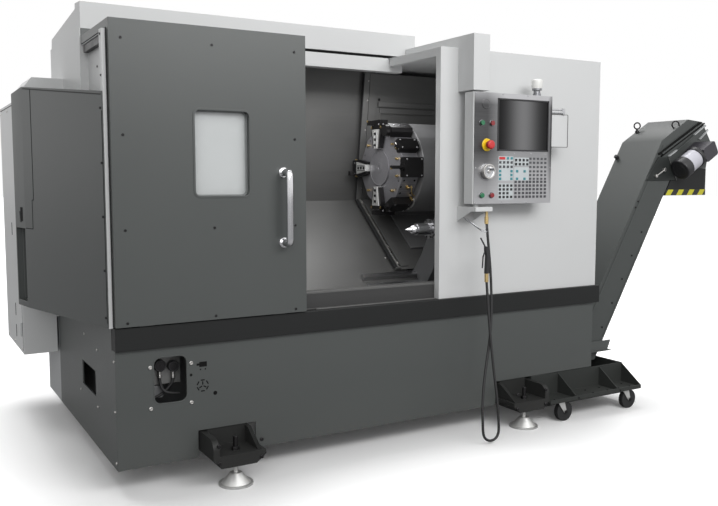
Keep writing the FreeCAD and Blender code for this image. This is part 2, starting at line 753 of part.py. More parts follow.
def beacon():
    x, y, z = 2158.0, -90.0, case_z[1]
    collar = rod_z(z, z + 10.0, x, y, 20.0, 16)
    stem = rod_z(z + 9.0, z + 52.0, x, y, 9.0, 12)
    cap = rod_z(z + 51.0, z + 86.0, x, y, 22.0, 16)
    return join([collar, stem, cap])


# ---- air line ----

hose_r = 6.5
hose_sides = 6
hose_route = [
    (1805.0, -131.0, 1101.0), (1812.0, -140.0, 985.0), (1818.0, -152.0, 860.0), (1817.0, -163.0, 736.0),
    (1812.0, -172.0, 631.0), (1793.0, -184.0, 508.0), (1764.0, -196.0, 400.0), (1739.0, -208.0, 290.0),
    (1724.0, -220.0, 190.0), (1720.0, -229.0, 116.0), (1720.0, -233.0, 46.5), (1747.5, -237.0, 19.0),
    (1786.5, -240.0, 19.0), (1814.0, -240.0, 46.5), (1814.0, -237.0, 118.0), (1807.0, -230.0, 230.0),
    (1796.0, -219.0, 348.0), (1784.0, -203.0, 512.0), (1775.0, -190.0, 678.0), (1772.0, -178.0, 817.0),
]


def hose_path():
    points = [V(*p) for p in hose_route]
    edges = []
    radii = []
    here = points[0]
    for before, corner, after in zip(points, points[1:], points[2:]):
        first = (before - corner)
        second = (after - corner)
        run = min(first.Length, second.Length)
        first.normalize()
        second.normalize()
        reach = 0.45 * run
        half = (math.pi - first.getAngle(second)) / 2.0
        radius = reach / math.tan(half)
        start = corner + first * reach
        end = corner + second * reach
        inward = (first + second)
        inward.normalize()
        sag = radius / math.cos(half) - radius
        edges.append(Part.LineSegment(here, start).toShape())
        edges.append(Part.Arc(start, corner + inward * sag, end).toShape())
        radii.append(radius)
        here = end
    edges.append(Part.LineSegment(here, points[-1]).toShape())
    return Part.Wire(edges), radii


def square_ring(point, heading, r, sides):
    # corners of a round section square to a heading
    side = heading.cross(V(0, 1, 0)).normalize()
    up = heading.cross(side).normalize()
    return [point + side * a + up * b for a, b in ring_points(r, sides)]


def air_hose():
    path, radii = hose_path()
    start = V(*hose_route[0])
    corners = square_ring(start, V(*hose_route[1]) - start, hose_r, hose_sides)
    tube = path.makePipeShell([Part.makePolygon(corners + corners[:1])], True, False)
    section = 0.5 * hose_sides * hose_r ** 2 * math.sin(2.0 * math.pi / hose_sides)
    print("hose radii", [round(r) for r in radii])
    print("hose length", round(path.Length, 1), "volume ratio",
          round(tube.Volume / (section * path.Length), 4))
    return tube


def ferrule(point, other, low, high):
    # a hexagon nut over the hose's end, bored along the hose
    x, y, z = point
    heading = (V(*other) - V(*point)).normalize()
    nut = rod_z(z + low, z + high, x, y, 10.5, 6)
    ring = square_ring(V(*point) - heading * 0.5, heading, hose_r + seat_gap, hose_sides)
    return nut.cut(outline(ring).extrude(heading * 60.0))


def air_fittings():
    x, y, z = hose_route[0]
    upper = ferrule(hose_route[0], hose_route[1], -12.0, 24.0)
    tail = rod_z(z + 23.0, lip_z - seat_gap, x, y, 7.0, 12)
    lower = ferrule(hose_route[-1], hose_route[-2], -12.0, 30.0)
    return Part.makeCompound([join([upper, tail]), lower])


def air_gun():
    x, y, z = hose_route[-1]
    grip = along_y([(x - 9.0, z + 30.0 + seat_gap), (x + 9.0, z + 30.0 + seat_gap), (x + 13.0, z + 60.0),
                    (x + 15.0, z + 120.0), (x + 9.0, z + 158.0), (x - 12.0, z + 166.0), (x - 12.0, z + 140.0),
                    (x - 5.0, z + 120.0)], y - 9.0, y + 9.0)
    aim = V(-0.55, 0, 0.83)
    nozzle = outline(square_ring(V(x - 6.0, y, z + 156.0), aim, 3.8, 8)).extrude(aim * 62.0)
    slot = box(x - 30.0, x - 6.0, y - 3.2, y + 3.2, z + 126.0, z + 150.0)
    return join([grip, nozzle]).cut(slot)


def gun_lever():
    x, y, z = hose_route[-1]
    return along_y([(x - 7.0, z + 148.0), (x - 11.0, z + 149.0), (x - 26.0, z + 116.0), (x - 30.0, z + 58.0),
                    (x - 25.0, z + 58.0), (x - 21.0, z + 112.0)], y - 2.8, y + 2.8)


# ---- conveyor ----

def conveyor_body():
    def low(z, out):
        return (low_start + (z - conv_bottom) / climb + out, z)

    def high(z, out):
        return (high_start + (z - conv_trough) / climb + out, z)

    shift = conv_wall / math.sin(math.radians(60.0))
    top = high(1546.0, 0.0)
    profile = [
        (conv_left, conv_bottom), (low_start, conv_bottom), low(1198.0, 0.0), (shaft_x - 160.0, 1380.0),
        (shaft_x + 135.0, 1380.0), (shaft_x + 172.0, 1550.0), (shaft_x + 85.0, 1672.0), (shaft_x - 53.0, 1683.0), top,
        (high_start, conv_trough), (conv_left, conv_trough),
    ]
    inner = [
        (conv_left + 4.0, conv_bottom + 4.0), (low_start - 2.3, conv_bottom + 4.0), low(1200.0, -shift),
        low(1384.0, -shift), (shaft_x + 131.5, 1384.0), (shaft_x + 167.5, 1549.0), (shaft_x + 83.0, 1668.0),
        (shaft_x - 52.0, 1678.6),
        (top[0] + 4.4, 1543.0), (high_start + 6.0, conv_trough - 4.0 + 8.0), (high_start - 40.0, conv_trough + 9.0),
        (conv_left + 4.0, conv_trough + 9.0),
    ]
    shell = along_y(profile, conv_y[0], conv_y[1])
    room = along_y(inner, conv_y[0] + conv_wall, conv_y[1] - conv_wall)
    outlet = box(shaft_x - 140.0, shaft_x + 122.0, conv_y[0] + 10.0, conv_y[1] - 10.0, 1370.0, 1400.0)
    shaft_hole = rod_y(conv_y[0] - 10.0, conv_y[1] + 10.0, shaft_x, shaft_z, bore_r(20.3, 16), 16)
    return less(shell, [room, outlet, shaft_hole])


def conveyor_chute():
    left, right = shaft_x - 248.0, shaft_x + 138.0
    outer = along_y([(left, 1210.0), (right, 1210.0), (right, 1379.5), (left + 97.0, 1379.5)],
                    conv_y[0] + 1.0, conv_y[1] - 1.0)
    inner = along_y([(left + 7.0, 1205.0), (right - 5.0, 1205.0), (right - 5.0, 1385.0), (left + 110.0, 1385.0)],
                    conv_y[0] + 6.0, conv_y[1] - 6.0)
    return outer.cut(inner)


def belt_band(path, r, y0, y1):
    # everything within r of the belt's centre path, between two widths
    pieces = []
    for (xa, za), (xb, zb) in zip(path, path[1:]):
        length = math.hypot(xb - xa, zb - za)
        a, b = (xb - xa) / length * r, (zb - za) / length * r
        pieces.append(along_y([(xa - b, za + a), (xa + b, za - a), (xb + b, zb - a), (xb - b, zb + a)], y0, y1))
    for x, z in path:
        pieces.append(rod_y(y0, y1, x, z, r / math.cos(math.pi / 24), 24))
    return join(pieces)


def conveyor_belt():
    outer = belt_turn + seat_gap + belt_thick
    run_z = conv_bottom + conv_wall + belt_gap + outer
    offset = (conv_wall + belt_gap + outer) / math.sin(math.radians(60.0))

    def climb_x(z):
        return low_start + (z - conv_bottom) / climb - offset

    path = [(conv_left + 90.0, run_z), (climb_x(run_z), run_z), (climb_x(shaft_z), shaft_z), (shaft_x, shaft_z)]
    band = belt_band(path, outer, conv_y[0] + 12.0, conv_y[1] - 12.0)
    return band.cut(belt_band(path, belt_turn + seat_gap, conv_y[0], conv_y[1]))


def conveyor_shaft():
    axle = rod_y(10.0, conv_y[1] + 30.0, shaft_x, shaft_z, 20.0, 12)
    wheels = [rod_y(y, y + 14.0, shaft_x, shaft_z, belt_turn, 16) for y in (140.0, 248.0, 356.0)]
    return join([axle] + wheels)


def conveyor_gearmotor():
    # drawn level with its gearbox on the drive shaft, then laid along the head's 30 degree slope
    x, z = shaft_x, shaft_z
    back = conv_y[0] - seat_gap
    gearbox = along_y(soft_corners(x - 57.0, x + 62.0, z - 46.0, z + 46.0, 14.0, 2), motor_y - 66.0, back)
    collar = rod_x(x - 80.0, x - 57.0, motor_y, z, 65.0, 24)
    can = rod_x(x - 172.0, x - 80.0, motor_y, z, 60.0, 24)
    fan_cap = rod_x(x - 229.0, x - 172.0, motor_y, z, 63.0, 24)
    hole = rod_y(5.0, back + 1.0, x, z, bore_r(20.3, 16), 16)
    shape = join([gearbox, collar, can, fan_cap]).cut(hole)
    shape.rotate(V(x, 0, z), V(0, -1, 0), 30.0)
    return shape


# ---- tank and casters ----

def coolant_tank():
    x0, x1 = tank_x
    body = box(x0, x1, -8.0, 1000.0, 52.0, tank_top)
    room = box(x0 + 4.0, x1 - 4.0, -4.0, 996.0, 56.0, tank_top + 10.0)
    floor = box(x0 + 8.0, x1, tray_front, -6.0, tray_floor - 5.0, tray_floor)
    lip = box(x0 + 8.0, x1, tray_front - 4.0, tray_front, tray_floor - 12.0, tray_floor + 11.0)
    parts = [body.cut(room), floor, lip]
    for x in (x0 + 196.0, x1 - 189.0, x1 - 4.0):
        side = along_x([(-6.0, tank_top - 2.0), (-6.0, tray_floor - 2.0), (tray_front, tray_floor - 2.0),
                        (tray_front, tray_floor + 11.0)], x, x + 4.0)
        parts.append(side)
    return join(parts)


def caster_fork(x):
    y = caster_y
    wheel_x = x + caster_trail
    top = tray_floor - 5.0 - seat_gap
    plate = rod_z(top - 4.0, top, x, y, 26.0, 16)
    legs = []
    for y0 in (y - wheel_width / 2.0 - 6.0, y + wheel_width / 2.0 + 2.0):
        leg = along_y([(x - 24.0, top - 2.0), (x + 24.0, top - 2.0), (wheel_x + 9.0, wheel_r - 4.0),
                       (wheel_x - 9.0, wheel_r - 6.0)], y0, y0 + 4.0)
        legs.append(leg)
    axle = rod_y(y - wheel_width / 2.0 - 8.0, y + wheel_width / 2.0 + 8.0, wheel_x, wheel_r, 5.0, 8)
    return join([plate] + legs + [axle])


def caster_wheel(x):
    wheel_x = x + caster_trail
    y0 = caster_y - wheel_width / 2.0
    tread = rod_y(y0, y0 + wheel_width, wheel_x, wheel_r, wheel_r / math.cos(math.pi / 32), 32)
    return tread.cut(rod_y(y0 - 5.0, y0 + wheel_width + 5.0, wheel_x, wheel_r, bore_r(5.0, 8), 8))


# ---- feet ----

def foot_bracket(x, side, y_front, y_back, y_stud):
    # side is +1 where the rounded cheek is on the left, -1 where it is on the right
    def at(dx):
        return x + side * dx

    lo, hi = sorted((at(-121.0), at(118.0)))
    plan = [(at(-121.0), bracket_top), (at(-121.0), bracket_top - 12.0), (at(-86.0), bracket_bottom),
            (at(74.0), bracket_bottom), (at(118.0), bracket_bottom + 36.0), (at(118.0), bracket_top)]
    plate = along_y(plan, y_front, y_back)
    riser = box(lo + 30.0, hi - 30.0, 440.0, 1000.0, bracket_top - 1.0, casting_bottom)
    flange = box(lo + 30.0, hi - 30.0, sheet + seat_gap, 14.0, bracket_top - 1.0, casting_bottom - 0.0)
    tall = 222.0
    parts = [plate, riser, flange]
    if y_front < 0.0:
        a, b = sorted((at(-121.0), at(-94.0)))
        arc = [math.radians(18.0 * k) for k in range(6)]
        top = [(y_front + 46.0 - 46.0 * math.cos(t), tall - 46.0 + 46.0 * math.sin(t)) for t in arc]
        parts.append(along_x([(y_front, bracket_top - 1.0)] + top + [(60.0, tall), (60.0, bracket_top - 1.0)], a, b))
        a, b = sorted((at(84.0), at(102.0)))
        rib = [(y_front + 10.0, bracket_top - 1.0), (60.0, bracket_top - 1.0), (60.0, tall), (-20.0, tall)]
        parts.append(along_x(rib, a, b))
    body = join(parts)
    for y in (y_stud, rear_foot_y):
        body = body.cut(rod_z(80.0, 220.0, x, y, bore_r(stud_r + seat_gap, 12), 12))
    return body


def foot_brackets():
    items = [
        foot_bracket(foot_left, 1.0, -152.0, 1100.0, foot_y),
        foot_bracket(foot_right, -1.0, -152.0, 1100.0, foot_y),
    ]
    return Part.makeCompound(items)


def stud(x, y):
    shaft = rod_z(52.0 + seat_gap, 206.0, x, y, stud_r, 8)
    nut = rod_z(bracket_bottom - 14.0, bracket_bottom - seat_gap, x, y, 17.0, 6)
    top_nut = rod_z(bracket_top + seat_gap, bracket_top + 14.0, x, y, 17.0, 6)
    return join([shaft, nut, top_nut])


def pad(x, y):
    foot = rod_z(0.0, 9.0, x, y, pad_r, 22)
    cone = taper_z(9.0, 52.0, x, y, 64.0, 26.0, 12)
    return join([foot, cone])


def levelling_feet():
    spots = [(x, y) for x in (foot_left, foot_right) for y in (foot_y, rear_foot_y)]
    return Part.makeCompound([stud(x, y) for x, y in spots] + [pad(x, y) for x, y in spots])


nodes = {
    "bed_casting": bed_casting(),
    "guide_ways": guide_ways(),
    "base_front_skirt": front_skirt(),
    "base_left_skirt": left_skirt(),
    "base_rear_skirt": rear_skirt(),
    "sill_rail": sill_rail(),
    "left_end_cover": left_cover(),
    "rear_cabinet": rear_cabinet(),
    "left_enclosure": left_enclosure(),
    "right_enclosure": right_enclosure(),
    "hood": hood(),
    "header_beam": header_beam(),
    "way_cover": way_cover(),
    "door_shell": door_shell(),
    "door_window": door_window(),
    "door_handle": door_handle(),
    "headstock": headstock(),
    "chuck": chuck(),
    "chuck_jaw_1": jaw(0.0),
    "chuck_jaw_2": jaw(120.0),
    "chuck_jaw_3": jaw(240.0),
    "saddle": saddle(),
    "carriage_cover": carriage_cover(),
    "turret_housing": turret_housing(),
    "turret_disc": turret_disc(),
    "tool_holders": tool_holders(),
    "wedge_clamps": wedge_clamps(),
    "coolant_nozzles": coolant_nozzles(),
    "tailstock_body": tailstock_body(),
    "tailstock_quill": tailstock_quill(),
    "live_centre": live_centre(),
    "pendant_arm": pendant_arm(),
    "pendant_bracket": pendant_bracket(),
    "pendant_case": pendant_case(),
    "pendant_faceplate": pendant_faceplate(),
    "pendant_screen": pendant_screen(),
    "stop_knob": stop_knob(),
    "jog_wheel": jog_wheel(),
    "document_holder": document_holder(),
    "beacon": beacon(),
    "air_hose": air_hose(),
    "air_fittings": air_fittings(),
    "air_gun": air_gun(),
    "air_gun_lever": gun_lever(),
    "conveyor_body": conveyor_body(),
    "conveyor_chute": conveyor_chute(),
    "conveyor_belt": conveyor_belt(),
    "conveyor_shaft": conveyor_shaft(),
    "conveyor_gearmotor": conveyor_gearmotor(),
    "coolant_tank": coolant_tank(),
    "caster_fork_left": caster_fork(caster_x[0]),
    "caster_fork_right": caster_fork(caster_x[1]),
    "caster_wheel_left": caster_wheel(caster_x[0]),
    "caster_wheel_right": caster_wheel(caster_x[1]),
    "foot_brackets": foot_brackets(),
    "levelling_feet": levelling_feet(),
}
for label, spot in button_spots.items():
    nodes[label] = push_button(spot[0], spot[1])

cord_nodes = ("air_hose", "air_fittings", "air_gun", "air_gun_lever")
fixed = Part.makeCompound([s for n, s in nodes.items() if n not in cord_nodes])
bounds = fixed.BoundBox
origin = V(-(bounds.XMin + bounds.XMax) / 2.0, -(bounds.YMin + bounds.YMax) / 2.0, -bounds.ZMin)
print("origin shift", round(origin.x, 3), round(origin.y, 3), round(origin.z, 3), "nodes", len(nodes))

for name, shape in nodes.items():
    moved = shape.copy()
    moved.translate(origin)
    moved.exportStep("parts/" + name + ".step")
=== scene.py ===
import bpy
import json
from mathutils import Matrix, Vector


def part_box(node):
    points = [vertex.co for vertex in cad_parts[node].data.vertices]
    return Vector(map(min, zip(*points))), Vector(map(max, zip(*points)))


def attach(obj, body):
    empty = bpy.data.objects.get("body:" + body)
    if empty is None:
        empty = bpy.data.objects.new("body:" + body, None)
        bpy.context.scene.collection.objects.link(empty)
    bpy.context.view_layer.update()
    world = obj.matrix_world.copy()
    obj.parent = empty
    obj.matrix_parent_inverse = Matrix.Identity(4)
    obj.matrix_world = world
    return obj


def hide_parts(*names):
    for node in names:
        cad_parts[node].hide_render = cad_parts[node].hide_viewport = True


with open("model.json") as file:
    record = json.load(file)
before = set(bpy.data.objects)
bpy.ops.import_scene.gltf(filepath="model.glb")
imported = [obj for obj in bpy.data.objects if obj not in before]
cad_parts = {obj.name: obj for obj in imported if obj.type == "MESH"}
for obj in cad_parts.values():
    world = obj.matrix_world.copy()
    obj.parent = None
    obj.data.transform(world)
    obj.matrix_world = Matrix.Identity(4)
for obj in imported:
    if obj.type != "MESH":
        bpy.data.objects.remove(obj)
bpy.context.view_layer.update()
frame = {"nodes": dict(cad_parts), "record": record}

import json
import math

import bpy
from mathutils import Vector

nodes = frame["nodes"]
bodies = frame["record"]["behaviour"]["bodies"]
bodyOfNode = {node: body for body, members in bodies.items() for node in members}
machineCorner = Vector((-1.7835, -0.8545, 0.0))  # the base's front left corner on the floor
spindleLine = (210, 1050)  # millimetres behind that corner and above the floor
slant = 40  # degrees that the bed leans back
turretAxis = 505  # millimetres up the bed from the spindle line
front, left, right, up = (0, -1, 0), (-1, 0, 0), (1, 0, 0), (0, 0, 1)


def spot(x, y, z):
    # millimetres right, back and up from the machine's corner
    return machineCorner + Vector((x, y, z)) / 1000


def leaning(degrees, out, along=0):
    # a step of so many millimetres up and back, in a side view turned by these degrees
    turn = math.radians(degrees)
    step = (0, along * math.cos(turn) - out * math.sin(turn), along * math.sin(turn) + out * math.cos(turn))
    return Vector(step) / 1000


def onSlant(x, u=0, v=0):
    # u runs up the slanted bed from the spindle line, v stands off it
    return spot(x, *spindleLine) + leaning(slant, v, u)


print("camera")

cameraSet = {"place": (-2.5575, -4.1585, 1.311), "turn": 30.17, "down": 5.2, "lens": 40.69, "reach": 60}


def addCamera():
    tilt = (math.radians(90 - cameraSet["down"]), 0, math.radians(-cameraSet["turn"]))
    bpy.ops.object.camera_add(location=cameraSet["place"], rotation=tilt)
    camera = bpy.context.object
    camera.data.lens = cameraSet["lens"]
    camera.data.clip_end = cameraSet["reach"]
    bpy.context.scene.camera = camera


addCamera()

print("materials")


class Wire:
    # a number travelling between shader nodes, with maths written as on paper
    def __init__(self, tree, socket):
        self.tree = tree
        self.socket = socket

    def maths(self, operation, first, second):
        node = self.tree.nodes.new("ShaderNodeMath")
        node.operation = operation
        for place, value in enumerate((first, second)):
            if isinstance(value, Wire):
                self.tree.links.new(value.socket, node.inputs[place])
            else:
                node.inputs[place].default_value = value
        return Wire(self.tree, node.outputs[0])

    def __add__(self, other):
        return self.maths("ADD", self, other)

    def __sub__(self, other):
        return self.maths("SUBTRACT", self, other)

    def __rsub__(self, other):
        return self.maths("SUBTRACT", other, self)

    def __mul__(self, other):
        return self.maths("MULTIPLY", self, other)

    def __pow__(self, other):
        return self.maths("POWER", self, other)

    def __mod__(self, other):
        return self.maths("FLOORED_MODULO", self, other)

    def __gt__(self, other):
        return self.maths("GREATER_THAN", self, other)

    __radd__ = __add__
    __rmul__ = __mul__


def tone(red, green, blue):
    # a colour as it looks on screen, 0 to 255
    linear = [((c / 255 + 0.055) / 1.055) ** 2.4 if c > 10 else c / 255 / 12.92 for c in (red, green, blue)]
    return (*linear, 1)


def shade(colour, factor):
    return (*[min(1.0, part * factor) for part in colour[:3]], 1)


class Finish:
    # one material: the shader with its fixed values, and the patterns that feed it
    def __init__(self, name, slot, colour, rough, metal=0.0, **more):
        self.material = bpy.data.materials.new(name)
        self.material.use_nodes = True
        self.tree = self.material.node_tree
        self.shader = self.tree.nodes["Principled BSDF"]
        fixed = {"Base Color": colour, "Roughness": rough, "Metallic": metal}
        fixed.update({key.replace("_", " "): value for key, value in more.items()})
        for socket, value in fixed.items():
            self.shader.inputs[socket].default_value = value
        self.place = self.add("ShaderNodeTexCoord", output="Object")

    def add(self, kind, settings=None, inputs=None, output=0):
        node = self.tree.nodes.new(kind)
        for key, value in (settings or {}).items():
            setattr(node, key, value)
        for key, value in (inputs or {}).items():
            if isinstance(value, Wire):
                self.tree.links.new(value.socket, node.inputs[key])
            else:
                node.inputs[key].default_value = value
        return Wire(self.tree, node.outputs[output])

    def feed(self, socket, wire):
        self.tree.links.new(wire.socket, self.shader.inputs[socket])

    def stretched(self, scale, centre=(0, 0, 0)):
        inputs = {"Vector": self.place, "Scale": scale, "Location": centre}
        return self.add("ShaderNodeMapping", inputs=inputs)

    def noise(self, scale, detail=2.0, vector=None, rough=0.5):
        inputs = {"Vector": vector or self.place, "Scale": scale, "Detail": detail, "Roughness": rough}
        return self.add("ShaderNodeTexNoise", inputs=inputs)

    def axis(self, letter):
        return self.add("ShaderNodeSeparateXYZ", inputs={"Vector": self.place}, output=letter)

    def ramp(self, value, start, end, first=0.0, last=1.0):
        # first before start, last past end, and even in between
        inputs = {"Value": value, "From Min": start, "From Max": end, "To Min": first, "To Max": last}
        return self.add("ShaderNodeMapRange", inputs=inputs)

    def blend(self, mask, colour, other):
        inputs = {"Factor": mask, 6: colour, 7: other}
        return self.add("ShaderNodeMix", {"data_type": "RGBA"}, inputs, output=2)

    def patterned(self, colour, rough, height, strength, distance):
        # the finished material, with colour, roughness and relief that change over its surface
        self.feed("Base Color", colour)
        self.feed("Roughness", rough)
        inputs = {"Height": height, "Strength": strength, "Distance": distance}
        self.feed("Normal", self.add("ShaderNodeBump", inputs=inputs))
        return self.material


paintSet = {"dust": shade(tone(150, 148, 142), 0.8), "dustTop": 0.35, "dustShare": 0.16, "cloudSize": 1.3}


def powderCoat(name, slot, colour, rough=0.45, grain=900, depth=0.3, drift=0.06, sheen=0.5):
    # baked powder paint: fine orange peel, cloudy tone and a little dust low down
    paint = Finish(name, slot, colour, rough, Specular_IOR_Level=sheen)
    cloud = paint.noise(paintSet["cloudSize"], 3.0)
    speck = paint.noise(grain)
    tint = paint.blend(cloud, shade(colour, 1 - drift), shade(colour, 1 + drift))
    low = paint.ramp(paint.axis("Z"), 0.0, paintSet["dustTop"], paintSet["dustShare"], 0.0)
    rough = rough + (speck - 0.5) * 0.18 + (cloud - 0.5) * 0.08
    return paint.patterned(paint.blend(low * cloud, tint, paintSet["dust"]), rough, speck, depth, 0.0004)


def brushed(name, slot, colour, rough, stroke, metal=1.0, depth=0.12, drift=0.12):
    # metal with fine strokes along the axis whose scale is small
    steel = Finish(name, slot, colour, rough, metal)
    lines = steel.noise(1.0, 3.0, steel.stretched(stroke))
    cloud = steel.noise(2.2, 3.0)
    tint = steel.blend(lines * 0.6 + cloud * 0.4, shade(colour, 1 - drift), shade(colour, 1 + drift))
    rough = rough + (lines - 0.5) * 0.22 + (cloud - 0.5) * 0.12
    return steel.patterned(tint, rough, lines, depth, 0.0003)


def castIron(name, slot, colour, rough=0.6, grain=350, depth=0.5, metal=0.35):
    # rough cast or blackened surface with pits and oily patches
    iron = Finish(name, slot, colour, rough, metal)
    grains = iron.noise(grain, 4.0, rough=0.7)
    patch = iron.noise(14, 3.0)
    tint = iron.blend(grains * 0.5 + patch * 0.5, shade(colour, 0.8), shade(colour, 1.25))
    return iron.patterned(tint, rough + (patch - 0.5) * 0.35, grains, depth, 0.0006)


def moulded(name, slot, colour, rough=0.35, grain=700, coat=0.0, depth=0.1):
    # plastic or rubber with a fine moulded grain
    plastic = Finish(name, slot, colour, rough, Coat_Weight=coat)
    grains = plastic.noise(grain)
    cloud = plastic.noise(20)
    tint = plastic.blend(cloud, shade(colour, 0.92), shade(colour, 1.08))
    rough = rough + (grains - 0.5) * 0.12 + (cloud - 0.5) * 0.1
    return plastic.patterned(tint, rough, grains, depth, 0.0002)


charcoal = powderCoat("charcoalPowderCoat", "charcoal_paint", tone(76, 79, 78), 0.38)
pale = powderCoat("lightGreyPowderCoat", "light_paint", tone(204, 205, 205), 0.4, depth=0.2, drift=0.02)
black = powderCoat("blackPowderCoat", "black_paint", tone(32, 33, 33), 0.5, 500, 0.6, sheen=0.25)
silver = powderCoat("silverGreyPaint", "silver_paint", tone(178, 180, 181), 0.42, depth=0.2)
conveyorPaint = powderCoat("conveyorPaint", "charcoal_paint", tone(70, 73, 72), 0.4, sheen=0.4)
tankPaint = powderCoat("tankPaint", "black_paint", tone(39, 42, 41), 0.48, 600, 0.5, sheen=0.3)
# near black for dark joints, and as painted shade in gaps, holes and slots and under overhangs
seamAndShadowPaint = powderCoat("seamShadow", "black_paint", tone(20, 20, 20), 0.7, sheen=0.1)
canPaint = powderCoat("motorCanPaint", "silver_paint", tone(196, 196, 204), 0.35, depth=0.15, drift=0.04)
ironCast = castIron("greyCastIron", "cast_iron", tone(110, 111, 112))
blackOxide = castIron("blackOxideSteel", "dark_steel", tone(46, 45, 46), 0.38, 600, 0.2, 0.8)
groundSteel = brushed("groundSteel", "ground_steel", tone(180, 180, 182), 0.28, (3, 400, 400))
chromed = brushed("polishedChrome", "chrome", tone(225, 225, 227), 0.08, (30, 30, 4), depth=0.02, drift=0.03)
satinSilver = brushed("satinSilver", "chrome", tone(196, 197, 199), 0.3, (60, 60, 60), depth=0.05, drift=0.04)
dialSteel = brushed("dialSteel", "chrome", tone(138, 139, 142), 0.25, (60, 60, 60), depth=0.05, drift=0.04)
zinc = brushed("brightZinc", "zinc_steel", tone(205, 203, 200), 0.3, (60, 60, 60), depth=0.1)
footZinc = brushed("dullZinc", "zinc_steel", tone(216, 216, 214), 0.4, (60, 60, 60), 0.65, 0.1)
coverSheet = brushed("coverSheet", "cover_steel", tone(104, 104, 103), 0.42, (2, 160, 160), 0.5)
dullSteel = brushed("dullSheetSteel", "cover_steel", tone(116, 116, 115), 0.42, (4, 80, 80), 0.5)
darkHousing = brushed("housingSteel", "cover_steel", tone(138, 138, 139), 0.42, (4, 90, 90), 0.4)
trayPaint = brushed("trayPaint", "cover_steel", tone(62, 62, 62), 0.45, (2, 90, 90), 0.3)
beltSteel = brushed("beltSteel", "belt_steel", tone(120, 120, 122), 0.45, (90, 3, 90))
brassMetal = brushed("brass", "brass", tone(208, 182, 128), 0.3, (200, 200, 20))
blackRubber = moulded("blackRubber", "rubber", tone(32, 32, 33), 0.6, 500, depth=0.3)
motorPaint = moulded("motorPaint", "cast_iron", tone(52, 50, 56), 0.38, 500, depth=0.3)
blackPlastic = moulded("blackPlastic", "black_plastic", tone(36, 36, 38), 0.45)
whitePlastic = moulded("whitePlastic", "white_plastic", tone(225, 225, 222))
redPlastic = moulded("redPlastic", "red_plastic", tone(196, 44, 46), 0.28, coat=0.4)
redButton = moulded("redButton", "red_plastic", tone(132, 40, 44), 0.4, 400, 0.2)
greenPlastic = moulded("greenPlastic", "green_plastic", tone(34, 112, 74), 0.28, coat=0.4)
yellowPlastic = moulded("yellowPlastic", "green_plastic", tone(238, 202, 40))
keyBlack = moulded("keyBlack", "black_plastic", tone(34, 34, 36), 0.45, 400)
keyCharcoal = moulded("keyCharcoal", "black_plastic", tone(70, 70, 74), 0.45, 400)
keyGrey = moulded("keyGrey", "black_plastic", tone(78, 79, 82), 0.45, 400)
keyTeal = moulded("keyTeal", "green_plastic", tone(62, 132, 140), 0.4, 400)
keyField = moulded("keyField", "face_steel", tone(190, 196, 198), 0.5, 500)


def windowPane():
    pane = Finish("clearPane", "pane", tone(232, 236, 236), 0.05, Alpha=0.3, Coat_Weight=0.6)
    smear = pane.noise(6, 3.0)
    pane.feed("Roughness", smear * 0.12 + 0.02)
    pane.feed("Alpha", smear * 0.06 + 0.26)
    return pane.material


def screenGlass():
    # dark glass with one soft upright painted reflection in its colour
    glass = Finish("screenGlass", "screen_plastic", tone(30, 31, 33), 0.3, Specular_IOR_Level=0.12)
    smear = glass.noise(9, 3.0)
    glass.feed("Roughness", smear * 0.1 + 0.1)
    across = spot(2040, 0, 0).x - glass.axis("X")
    # painted reflection: a soft lighter band across the glass, centred at one place along X
    paintedLight = glass.add("ShaderNodeMath", {"operation": "EXPONENT"}, {0: across * across * -130.0})
    deep = glass.blend(smear, tone(4, 4, 5), tone(14, 14, 15))
    glass.feed("Base Color", glass.blend(paintedLight, deep, tone(112, 112, 113)))
    return glass.material


def facePlateSteel():
    # brushed upright plate with a painted reflection in its colour: darker at the left, bright along its top,
    # foot and right edge
    steel = Finish("panelSteel", "face_steel", tone(150, 150, 152), 0.36, 0.8)
    lines = steel.noise(1.0, 3.0, steel.stretched((4, 700, 700)))
    cloud = steel.noise(3.0, 3.0)
    low, high = spot(1727, 0, 1188), spot(2232, 0, 1737)
    ramps = (("X", low.x + 0.08, low.x + 0.2, 0.5), ("Z", high.z - 0.06, high.z, 0.55),
             ("Z", low.z + 0.26, low.z + 0.02, 0.8), ("X", high.x - 0.03, high.x, -0.6))
    # painted reflection: ramps along X and Z lighten and darken the colour, with the brushed grain mixed in
    paintedReflection = lines * 0.13 + cloud * 0.13
    for letter, start, end, gain in ramps:
        paintedReflection = paintedReflection + steel.ramp(steel.axis(letter), start, end, 0.0, gain)
    tint = steel.blend(paintedReflection, tone(30, 30, 31), tone(186, 186, 188))
    rough = 0.36 + (lines - 0.5) * 0.22 + (cloud - 0.5) * 0.12
    return steel.patterned(tint, rough, lines, 0.08, 0.0003)


def turretSteel():
    # turned face: fine rings round the turret's axis
    centre = onSlant(0, turretAxis)
    steel = Finish("turnedSteel", "turret_steel", tone(180, 179, 183), 0.36, 0.6)
    offset = steel.stretched((0, 1, 1), (0, -centre.y, -centre.z))
    radius = steel.add("ShaderNodeVectorMath", {"operation": "LENGTH"}, {0: offset}, output="Value")
    rings = 0.5 + 0.5 * steel.add("ShaderNodeMath", {"operation": "SINE"}, {0: radius * 3600.0})
    cloud = steel.noise(9, 3.0)
    tint = steel.blend(rings * 0.35 + cloud * 0.65, tone(120, 119, 123), tone(168, 167, 171))
    return steel.patterned(tint, cloud * 0.24 + rings * 0.06 + 0.24, rings, 0.15, 0.0002)


